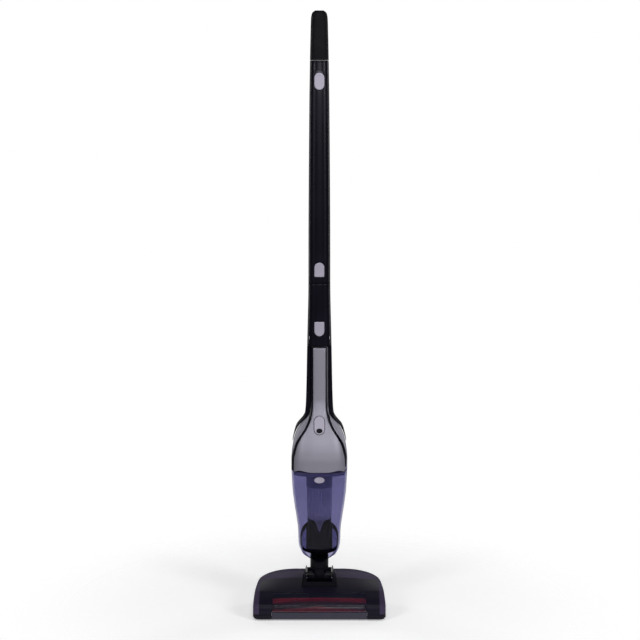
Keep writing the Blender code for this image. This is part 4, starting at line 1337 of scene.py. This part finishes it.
@dataclass(frozen=True)
class Cup:
    """The clear dust cup with its release button, and the inlet duct and filter inside it."""

    bench: Bench
    top: float = 271.9
    eye: tuple[float, float, float] = (258.0, 9.2, 5.6)
    filter_y: float = -26.0
    pleats: int = 26
    slope: float = 53.0
    slope_point: Row = (0.0, -31.0, 113.0)
    foot_half: float = 24.5
    rim: float = 3.0

    def build(self) -> None:
        """Builds every piece of the cup."""
        self.cup()
        self.release_button()
        self.duct()
        self.filter_ring()
        self.filter_bag()

    def form(self, grow: float = 0.0, low: float = 97.6, high: float = 271.9) -> Solid:
        """The cup's outer form, moved outwards, between two heights."""
        return Solid.tube(CUP, low, high, grow, 112, 90)

    def cup(self) -> None:
        """The cup with its mouth, the button's hole and a waved front edge."""
        wave = [(x, self.top + panel_wave(x)) for x in spread(-60, 60, 60)]
        height, across, rise = self.eye
        solid = self.form(high=276.0)
        solid.cut(
            self.form(-WALL, 99.1, 290.0), Docking.below(), Docking.ring(13, 12, -20, 8),
            Solid.prism([*wave, (60, 300), (-60, 300)], -90, -30),
            Solid.block((-90, -30.5, self.top), (90, 60, 300)),
            Solid.prism(ellipse(height, across, rise, -GAP, 48), -80, -30),
        )
        self.bench.finish(solid.softened(0.3), "clear_cup", "cup", Slot.SMOKE_CLEAR, ["dust_cup"])

    def release_button(self) -> None:
        """The oval button that frees the cup."""
        outline = partial(ellipse, *self.eye, steps=48)
        solid = press_cap(CUP, outline, 0.5, -54.5, 0.8, 0.3, 5.0)
        self.bench.finish(
            solid, "cup_release_cap", "cup_release_button", Slot.BUTTON_GREY, ["cup_release_button"]
        )

    def flange_slab(self, low: float, high: float) -> Solid:
        """A slab between two distances from the sloping plane that closes the cup's nozzle."""
        made = Solid.block((-70, -90, low), (70, 90, high))
        turn = Matrix.Rotation(math.radians(self.slope), 4, "X")
        return made.placed(Matrix.Translation(self.slope_point) @ turn)

    def duct(self) -> None:
        """The inlet duct: a black tube with two horns, on a foot with a black rim and clear sides."""
        form = Form(((90, 21.5, -26.0, 3.4), (210, 21.5, -26.0, 3.4)), 3.0)
        strip = Solid.block((-self.foot_half, -90, 60), (self.foot_half, 90, 260))
        inner = self.form(-WALL - GAP - self.rim, 99.6)
        solid = self.form(-WALL - GAP, 99.6).kept(self.flange_slab(0.0, 3.0))
        solid.cut(self.form(-WALL - GAP - self.rim, 90.0, 275.0).cut(strip))
        tube = Solid.tube(form, 105, 176, 0.0, 80, 20).cut(self.flange_slab(-80, 1.0))
        valley = [(x, 148 + 28 * (abs(x) / 18) ** 1.5) for x in spread(21, -21, 28)]
        solid.joined(tube)
        solid.cut(
            Solid.tube(form, 95, 200, -WALL, 80, 20),
            Solid.prism([*valley, (-21, 215), (21, 215)], -40, -8),
        )
        self.bench.finish(
            solid.softened(0.4), "duct", "cup", Slot.GLOSS_BLACK, ["inlet_duct"],
            material=self.bench.shaded_gloss_black,
        )
        skirt = inner.kept(self.flange_slab(0.4, 2.6))
        half = self.foot_half + GAP
        skirt.cut(Solid.block((-half, -90, 60), (half, 90, 260)))
        self.bench.finish(skirt, "duct_skirt", "cup", Slot.SMOKE_CLEAR)

    def filter_ring(self) -> None:
        """The plate and collar that hold the filter."""
        axis = (0.0, self.filter_y)
        solid = self.form(-WALL - GAP, 264.0, 270.0)
        solid.joined(Solid.rod((*axis, 240), (*axis, 266), 24.0, 80))
        solid.cut(Solid.rod((*axis, 230), (*axis, 280), 20.5, 80))
        grey = GrainPlastic((0.22, 0.22, 0.29)).material("filter_frame_grey")
        self.bench.finish(
            solid.softened(0.5), "filter_ring", "cup", Slot.DARK_PLASTIC, ["filter_frame"], material=grey
        )

    def filter_bag(self) -> None:
        """The pleated filter below its collar."""
        outline = Profile(((153, 1.0, 0.0), (176, 12.0, 0.2), (178.5, 19.5, 0.6), (186, 21.4, 1.0),
                           (202, 22.0, 1.5), (232, 22.2, 1.3), (239.5, 23.0, 0.3)))
        count = self.pleats * 8
        rings = []
        for height in [153, 155, 160, 165, 170, 174, 176, 177, 178.5, 181, *spread(184, 239.5, 30)]:
            radius, depth = outline(height)
            turns = [2 * math.pi * step / count for step in range(count)]
            reach = [radius + depth * math.cos(self.pleats * turn) * 0.5 for turn in turns]
            rings.append([Vector((r * math.cos(t), self.filter_y + r * math.sin(t), height))
                          for r, t in zip(reach, turns)])
        solid = Solid.through(rings)
        self.bench.finish(solid, "filter_bag", "cup", Slot.FILTER_CLOTH, ["filter_element"])


@dataclass(frozen=True)
class HeadForm:
    """The outer form of the floor head: sections from its front edge to its rear."""

    bottom: float = 3.0
    chamfer: float = 3.0
    lean: float = 0.012
    corner: float = 4.0
    fall: float = 6.6

    def section(self, y: float, inset: float, bottom: float) -> list[Vector]:
        """One closed section.

        Args:
            y: where it is.
            inset: how far sides and top are moved inwards.
            bottom: lowest height.

        Returns:
            Its points, from the lower middle round by the right side.
        """
        half, top = HEAD(y)
        half, top = half - inset, top - inset
        radius = min(self.corner, (top - bottom) * 0.45)
        side = [(half - self.chamfer, bottom), (half, bottom + 3.5)]
        lean = self.lean * (top - radius - bottom - 3.5)
        for share in (0.33, 0.66, 1.0):
            side.append((half - lean * share, bottom + 3.5 + (top - radius - bottom - 3.5) * share))
        for step in range(1, 9):
            t = math.pi / 2 * step / 8
            side.append((half - lean - radius * (1 - math.cos(t)), top - radius * (1 - math.sin(t))))
        edge = half - lean - radius
        side += [(edge * (1 - step / 20), top) for step in range(1, 21)]
        floor = [((half - self.chamfer) * share, bottom) for share in (0.0, 0.35, 0.7)]
        right = [*floor, *side]
        left = [(-x, z) for x, z in reversed(right[1:-1])]
        return [Vector((x, y, z - self.drop(x, y) * (z - bottom) / (top - bottom)))
                for x, z in [*right, *left]]

    def drop(self, x: float, y: float) -> float:
        """How far the top falls away towards the rear corners."""
        rear = max(0.0, min(1.0, (y + 40) / 70))
        return self.fall * rear * (max(0.0, abs(x) - 45) / 60) ** 1.6

    def solid(self, inset: float = 0.0, bottom: float | None = None) -> Solid:
        """The form, with its sides and top moved inwards and its floor at a height."""
        low = self.bottom if bottom is None else bottom
        front, rear = HEAD.stops[0] + inset, HEAD.stops[-1] - inset
        stops = sorted({*spread(front, rear, 60), *(front + s * 0.5 for s in range(1, 12)),
                        *(rear - s for s in range(1, 12))})
        return Solid.through([self.section(y, inset, low) for y in stops])


@dataclass(frozen=True)
class Wheel:
    """A wheel or roller: a tyre with grooves and a dished hub on both faces."""

    radius: float
    width: float
    bore: float
    grooves: int

    def solid(self, centre: Row) -> Solid:
        """The wheel about its centre."""
        half, radius = self.width / 2, self.radius
        hub, rim = radius * 0.62, radius - 1.0
        face = [(self.bore, half - 0.9), (hub * 0.6, half - 0.9), (hub, half - 1.4), (hub + 0.6, half - 0.2),
                (hub + 1.1, half), (rim - 0.6, half), (rim + 0.4, half - 0.35), (radius, half - 1.1)]
        tread = []
        for index in range(self.grooves):
            middle = half * (1 - 2 * (index + 1) / (self.grooves + 1))
            tread += [(radius, middle + 0.55), (radius - 0.6, middle + 0.35), (radius - 0.6, middle - 0.35),
                      (radius, middle - 0.55)]
        back = [(r, -a) for r, a in reversed(face)]
        return Solid.turned([*face, *tread, *back], centre, (1, 0, 0), True, 72)


@dataclass(frozen=True)
class FloorHead:
    """The floor head: cover, clear window, base, bumper, pivot housing, brush roll and wheels."""

    bench: Bench
    form: HeadForm = HeadForm()
    base_top: float = 12.0
    window_half: float = 85.0
    window_rear: float = -46.0
    window_bottom: float = 16.0
    bumper_half: float = 87.0
    bumper_rear: float = -77.0
    chamber_wall: tuple[Row, Row] = ((-86, -31.5, 12.4), (98, -30.3, 43))
    brush: Vector = field(default_factory=lambda: Vector((0.0, -50.0, 18.5)))
    rear_wheel: Wheel = Wheel(15.0, 12.0, 3.2, 3)
    rear_place: Row = (76.0, 24.0, 15.0)
    front_roller: Wheel = Wheel(7.0, 8.0, 1.2, 1)
    front_place: Row = (107.5, -58.0, 7.0)
    rows: int = 3
    tufts: int = 58
    lead: float = 0.87
    phase: float = 3.33

    def build(self) -> None:
        """Builds every piece of the head."""
        self.cover()
        self.window()
        self.base()
        self.bumper()
        self.housing()
        self.yoke()
        self.brush_core()
        self.bristles()
        self.wheels()
        dress = self.bench.dress
        dress(Slot.RUBBER, "squeegee_strip", "drive_belt")
        dress(Slot.SOFT_BLACK, "air_hose")
        dress(Slot.STEEL, "pivot_pin_left", "pivot_pin_right", "brush_bearing_left", "brush_bearing_right",
              "brush_motor", "brush_motor_pulley", "rear_axle_left", "rear_axle_right")

    def bumper_room(self, high: float) -> Solid:
        """The room of the bumper, up to a height."""
        half = self.bumper_half + GAP
        return Solid.block((-half, -90, 0), (half, self.bumper_rear + GAP, high))

    def cover(self) -> None:
        """The glossy upper cover, and the dark wall behind the brush."""
        solid = self.form.solid()
        below = Solid.block((-130, -90, -12), (130, 60, self.base_top + GAP))
        solid.cut(self.form.solid(WALL, -10.0), below)
        half = self.window_half + GAP
        solid.cut(
            Solid.block((-half, -95, self.window_bottom - GAP), (half, self.window_rear + GAP, 80)),
            self.bumper_room(self.window_bottom + 0.4),
            Solid.prism([(-33.5, 37.5), (33.5, 37.5), (33.5, 44), (25.5, 75), (-25.5, 75), (-33.5, 44)],
                        -26.4, 24.4),
            Solid.block((-24.6, 20, 40), (24.6, 60, 80)),
        )
        # The cover's paler sides and rear are a painted highlight, not a second paint.
        painted_highlight_gloss = GlossWithPaintedHighlight((0.008, 0.0065, 0.014), (0.040, 0.030, 0.062), 0.1095, 0.0215)
        self.bench.finish(solid.softened(0.35), "upper_cover", "floor_head", Slot.GLOSS_BLACK,
                          ["head_cover"], material=painted_highlight_gloss.material("cover_gloss_painted_highlight"))
        wall = Solid.block(*self.chamber_wall)
        self.bench.finish(wall, "chamber_wall", "floor_head", Slot.SOFT_BLACK)

    def window(self) -> None:
        """The clear window over the brush."""
        half = self.window_half
        solid = self.form.solid()
        solid.cut(self.form.solid(WALL, -10.0))
        solid.kept(Solid.block((-half, -95, self.window_bottom), (half, self.window_rear, 80)))
        smoke = ThinSmoke((0.012, 0.013, 0.028)).material("window_smoke")
        self.bench.finish(
            solid.softened(0.35), "window", "floor_head", Slot.SMOKE_CLEAR, ["brush_window"], material=smoke
        )

    def base(self) -> None:
        """The base with the brush's slot and the wells of the wheels."""
        solid = self.form.solid()
        solid.kept(Solid.block((-130, -90, 0), (130, 60, self.base_top)))
        solid.cut(
            self.form.solid(3.2, -10.0).kept(Solid.block((-130, -90, 5.5), (130, 60, 40))),
            Solid.block((-100, -69, 0), (100, -32, 20)),
            self.bumper_room(20),
            Solid.block((-95.3, -28.3, 0), (95.3, -25.7, 4.6)),
        )
        for side, _ in SIDES:
            for wheel, (x, y, _), room in (
                (self.rear_wheel, self.rear_place, 1.5), (self.front_roller, self.front_place, 1.0),
            ):
                reach, half = wheel.radius + room, wheel.width / 2 + 1.0
                low, high = (side * x - half, y - reach, 0), (side * x + half, y + reach, 20)
                solid.cut(Solid.block(low, high))
        self.bench.finish(solid.softened(0.3), "base", "floor_head", Slot.GLOSS_BLACK, ["head_base"])

    def bumper(self) -> None:
        """The matt strip on the front edge."""
        solid = self.form.solid()
        half = self.bumper_half
        solid.kept(Solid.block((-half, -90, 0), (half, self.bumper_rear, self.window_bottom - GAP)))
        matt = GrainPlastic((0.018, 0.017, 0.034), 0.4).material("bumper_matt")
        self.bench.finish(
            solid.softened(0.5, 3), "bumper", "floor_head", Slot.DARK_PLASTIC, ["front_bumper"], material=matt
        )

    def housing(self) -> None:
        """The housing round the pivot."""
        outline = [(-33, 38), (33, 38), (33, 44), (25, 73), (-25, 73), (-33, 44)]
        solid = Solid.prism(outline, -26, 24)
        solid.cut(
            Solid.block((-23.6, -18.2, 43), (23.6, 60, 90)), Solid.block((-23.6, -60, 56), (23.6, 0, 90)),
            Solid.rod((0, -4, 30), (0, -4, 60), 9.5, 48),
        )
        self.bench.finish(
            solid.softened(1.2, 3), "pivot_housing", "floor_head", Slot.GLOSS_BLACK, ["neck_housing"],
            material=self.bench.shaded_gloss_black,
        )

    def yoke(self) -> None:
        """The yoke that tilts in the housing and carries the neck."""
        solid = Solid.rod((0, 0, 60), (0, 0, 80.1), 17.0, 80)
        solid.joined(Solid.rod((-23, 0, PIVOT_Z), (23, 0, PIVOT_Z), 14.5, 72))
        solid.cut(
            Solid.rod((0, 0, 66), (0, 0, 90), 12.25, 64), Solid.rod((0, 0, 30), (0, 0, 70), 9.5, 56)
        )
        solid.cut(Solid.rod((-30, 0, PIVOT_Z), (-17.9, 0, PIVOT_Z), 5.2, 48),
                  Solid.rod((17.9, 0, PIVOT_Z), (30, 0, PIVOT_Z), 5.2, 48))
        self.bench.finish(
            solid.softened(0.6, 3), "yoke", "neck_yoke", Slot.GLOSS_BLACK, ["neck_yoke"],
            material=self.bench.shaded_gloss_black,
        )

    def brush_core(self) -> None:
        """The roll with its pulley end."""
        outline = (
            (0, -101), (2.6, -101), (3.0, -100.6), (3.0, -94.5), (7.6, -94.5), (8.0, -94.1), (8.0, -88.9),
            (8.5, -88.5), (8.5, 94.1), (8.1, 94.5), (3.0, 94.5), (3.0, 100.6), (2.6, 101), (0, 101),
        )
        solid = Solid.turned(outline, tuple(self.brush), (1, 0, 0), count=48)
        # The core is a darkened copy of the bristle red: painted shade between the rows of tufts.
        dark = Bristle((0.05, 0.008, 0.014)).material("roll_red_painted_shade")
        self.bench.finish(solid, "roll", "brush_roll", Slot.BRUSH_RED, ["brush_core"], material=dark)

    def bristles(self) -> None:
        """Rows of tufts that run round the roll as chevrons."""
        chance = random.Random(7)
        solid = Solid()
        for row in range(self.rows):
            for index in range(self.tufts):
                share = (index + 0.5) / self.tufts
                x = 87.0 * (2 * share - 1) * 0.985
                for spread_turn in (-0.3, -0.1, 0.1, 0.3):
                    turn = (self.lead * abs(2 * share - 1) + 2 * math.pi * row / self.rows
                            + spread_turn + self.phase)
                    self.tuft(solid, x, turn + chance.uniform(-0.03, 0.03), chance.uniform(14.2, 14.95))
        solid.merged()
        bmesh.ops.recalc_face_normals(solid.work, faces=solid.work.faces[:])
        self.bench.finish(solid, "tufts", "brush_roll", Slot.BRUSH_RED, ["brush_bristles"], 60.0)

    def tuft(self, solid: Solid, x: float, turn: float, reach: float) -> None:
        """Adds one flared tuft to a mesh.

        Args:
            solid: the mesh.
            x: where the tuft stands along the roll.
            turn: its direction round the roll.
            reach: how far its tip is from the axis.
        """
        out = Vector((0, math.cos(turn), math.sin(turn)))
        round_ = Vector((0, -math.sin(turn), math.cos(turn)))
        rings = []
        for radius, along in ((0.9, 8.3), (0.8, 9.6), (1.15, reach - 1.4), (1.35, reach - 0.2)):
            rings.append([solid.work.verts.new(
                self.brush + out * along + Vector((x + radius * math.cos(t), 0, 0))
                + round_ * radius * math.sin(t)
            ) for t in (math.pi / 3 * step for step in range(6))])
        for low, high in zip(rings, rings[1:]):
            for index in range(6):
                after = (index + 1) % 6
                solid.work.faces.new((low[index], low[after], high[after], high[index]))
        tip = solid.work.verts.new(self.brush + out * reach + Vector((x, 0, 0)))
        for index in range(6):
            solid.work.faces.new((rings[-1][index], rings[-1][(index + 1) % 6], tip))
        solid.work.faces.new(rings[0])

    def wheels(self) -> None:
        """The rear wheels and the front rollers with their stub ends."""
        for side, hand in SIDES:
            x, y, z = self.rear_place
            wheel = self.rear_wheel.solid((side * x, y, z))
            name = f"rear_wheel_{hand}"
            self.bench.finish(wheel, f"rear_tyre_{hand}", name, Slot.SOFT_BLACK, [name])
            x, y, z = self.front_place
            place = (side * x, y, z)
            roller = self.front_roller.solid(place)
            stub = [(0, -4.4), (1.3, -4.4), (1.6, -4.1), (1.6, 4.1), (1.3, 4.4), (0, 4.4)]
            roller.joined(Solid.turned(stub, place, (1, 0, 0), count=32))
            name = f"front_roller_{hand}"
            self.bench.finish(roller, f"front_tyre_{hand}", name, Slot.SOFT_BLACK, [name])


# Studio


@dataclass(frozen=True)
class SoftBox:
    """An area light: where it stands, where it points, its size in metres and its power in watts."""

    name: str
    place: Vector
    target: Vector
    size: tuple[float, float]
    power: float

    def hang(self) -> None:
        """Puts the light in the scene."""
        light = bpy.data.lights.new(self.name, "AREA")
        light.shape = "RECTANGLE"
        light.size, light.size_y = self.size
        light.energy = self.power
        lamp = bpy.data.objects.new(self.name, light)
        lamp.location = self.place
        lamp.rotation_euler = (self.target - self.place).to_track_quat("-Z", "Y").to_euler()
        bpy.context.scene.collection.objects.link(lamp)


@dataclass(frozen=True)
class Studio:
    """A pale studio: a floor that fades out, soft boxes, a bright surround and the camera."""

    eye: Vector = field(default_factory=lambda: Vector((0.0, -2.9835, 1.0)))
    pitch: float = 8.65
    lens: float = 93.5
    shift: float = 0.001
    reach: float = 1.5
    seen: float = 1.0
    lit: float = 0.08
    boxes: tuple[SoftBox, ...] = field(default_factory=lambda: (
        SoftBox("left_key", Vector((-2.0, -2.2, 1.6)), Vector((0, 0, 0.5)), (0.45, 1.5), 24.0),
        SoftBox("right_key", Vector((2.1, -2.1, 1.6)), Vector((0, 0, 0.5)), (0.55, 1.5), 32.0),
        SoftBox("front_key", Vector((0.16, -3.4, 1.65)), Vector((0, 0, 0.5)), (0.35, 1.1), 22.0),
        SoftBox("top_box", Vector((0.0, -1.2, 2.7)), Vector((0, 0, 0.3)), (1.4, 1.0), 18.0),
        SoftBox("rear_box", Vector((0.2, 2.4, 1.3)), Vector((0, 0, 0.1)), (2.4, 0.4), 6.0),
        SoftBox("rear_left", Vector((-1.8, 1.3, 0.95)), Vector((0, 0, 0.6)), (0.5, 1.7), 9.0),
        SoftBox("rear_right", Vector((1.8, 1.2, 0.95)), Vector((0, 0, 0.6)), (0.5, 1.7), 9.0),
    ))

    def build(self) -> None:
        """Sets up the floor, the lights, the surround and the camera."""
        self.floor()
        for box in self.boxes:
            box.hang()
        self.surround()
        self.camera()
        bpy.context.scene.view_settings.view_transform = "Standard"

    def floor(self) -> None:
        """A round pale floor."""
        work = bmesh.new()
        bmesh.ops.create_circle(work, cap_ends=True, segments=96, radius=self.reach)
        mesh = bpy.data.meshes.new("floor")
        work.to_mesh(mesh)
        work.free()
        mesh.materials.append(StudioFloor((0.93, 0.93, 0.94), 0.22, 0.6).material("floor"))
        ground = bpy.data.objects.new("floor", mesh)
        bpy.context.scene.collection.objects.link(ground)

    def surround(self) -> None:
        """A world that looks white and lights the object only a little."""
        world = bpy.data.worlds.new("surround")
        world.use_nodes = True
        tree = world.node_tree
        tree.nodes.clear()
        path = tree.nodes.new("ShaderNodeLightPath")
        seen, lit = tree.nodes.new("ShaderNodeBackground"), tree.nodes.new("ShaderNodeBackground")
        for background, strength in ((seen, self.seen), (lit, self.lit)):
            background.inputs["Strength"].default_value = strength
            background.inputs["Color"].default_value = (1, 1, 1, 1)
        mixed, out = tree.nodes.new("ShaderNodeMixShader"), tree.nodes.new("ShaderNodeOutputWorld")
        either = tree.nodes.new("ShaderNodeMath")
        either.operation = "MAXIMUM"
        tree.links.new(path.outputs["Is Camera Ray"], either.inputs[0])
        tree.links.new(path.outputs["Is Transmission Ray"], either.inputs[1])
        tree.links.new(either.outputs[0], mixed.inputs[0])
        tree.links.new(lit.outputs[0], mixed.inputs[1])
        tree.links.new(seen.outputs[0], mixed.inputs[2])
        tree.links.new(mixed.outputs[0], out.inputs["Surface"])
        bpy.context.scene.world = world

    def camera(self) -> None:
        """The camera, a little above the object's middle and looking down at it."""
        lens = bpy.data.cameras.new("camera")
        lens.lens = self.lens
        lens.sensor_width = 36.0
        lens.shift_x = self.shift
        camera = bpy.data.objects.new("camera", lens)
        camera.location = self.eye
        camera.rotation_euler = (math.radians(90 - self.pitch), 0, 0)
        bpy.context.scene.collection.objects.link(camera)
        bpy.context.scene.camera = camera


def main() -> None:
    """Loads the frame, builds every sub-assembly and the studio, and notes the sizes."""
    logging.basicConfig(level=logging.INFO, format="%(name)s: %(message)s")
    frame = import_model()
    bench = Bench(frame)
    FloorHead(bench).build()
    Frame(bench).build()
    Handle(bench).build()
    HandUnit(bench).build()
    Cup(bench).build()
    Studio().build()
    faces = sum(len(piece.data.polygons) for piece in bench.pieces)
    log.info("%d pieces, %d faces", len(bench.pieces), faces)


if __name__ == "__main__":
    main()
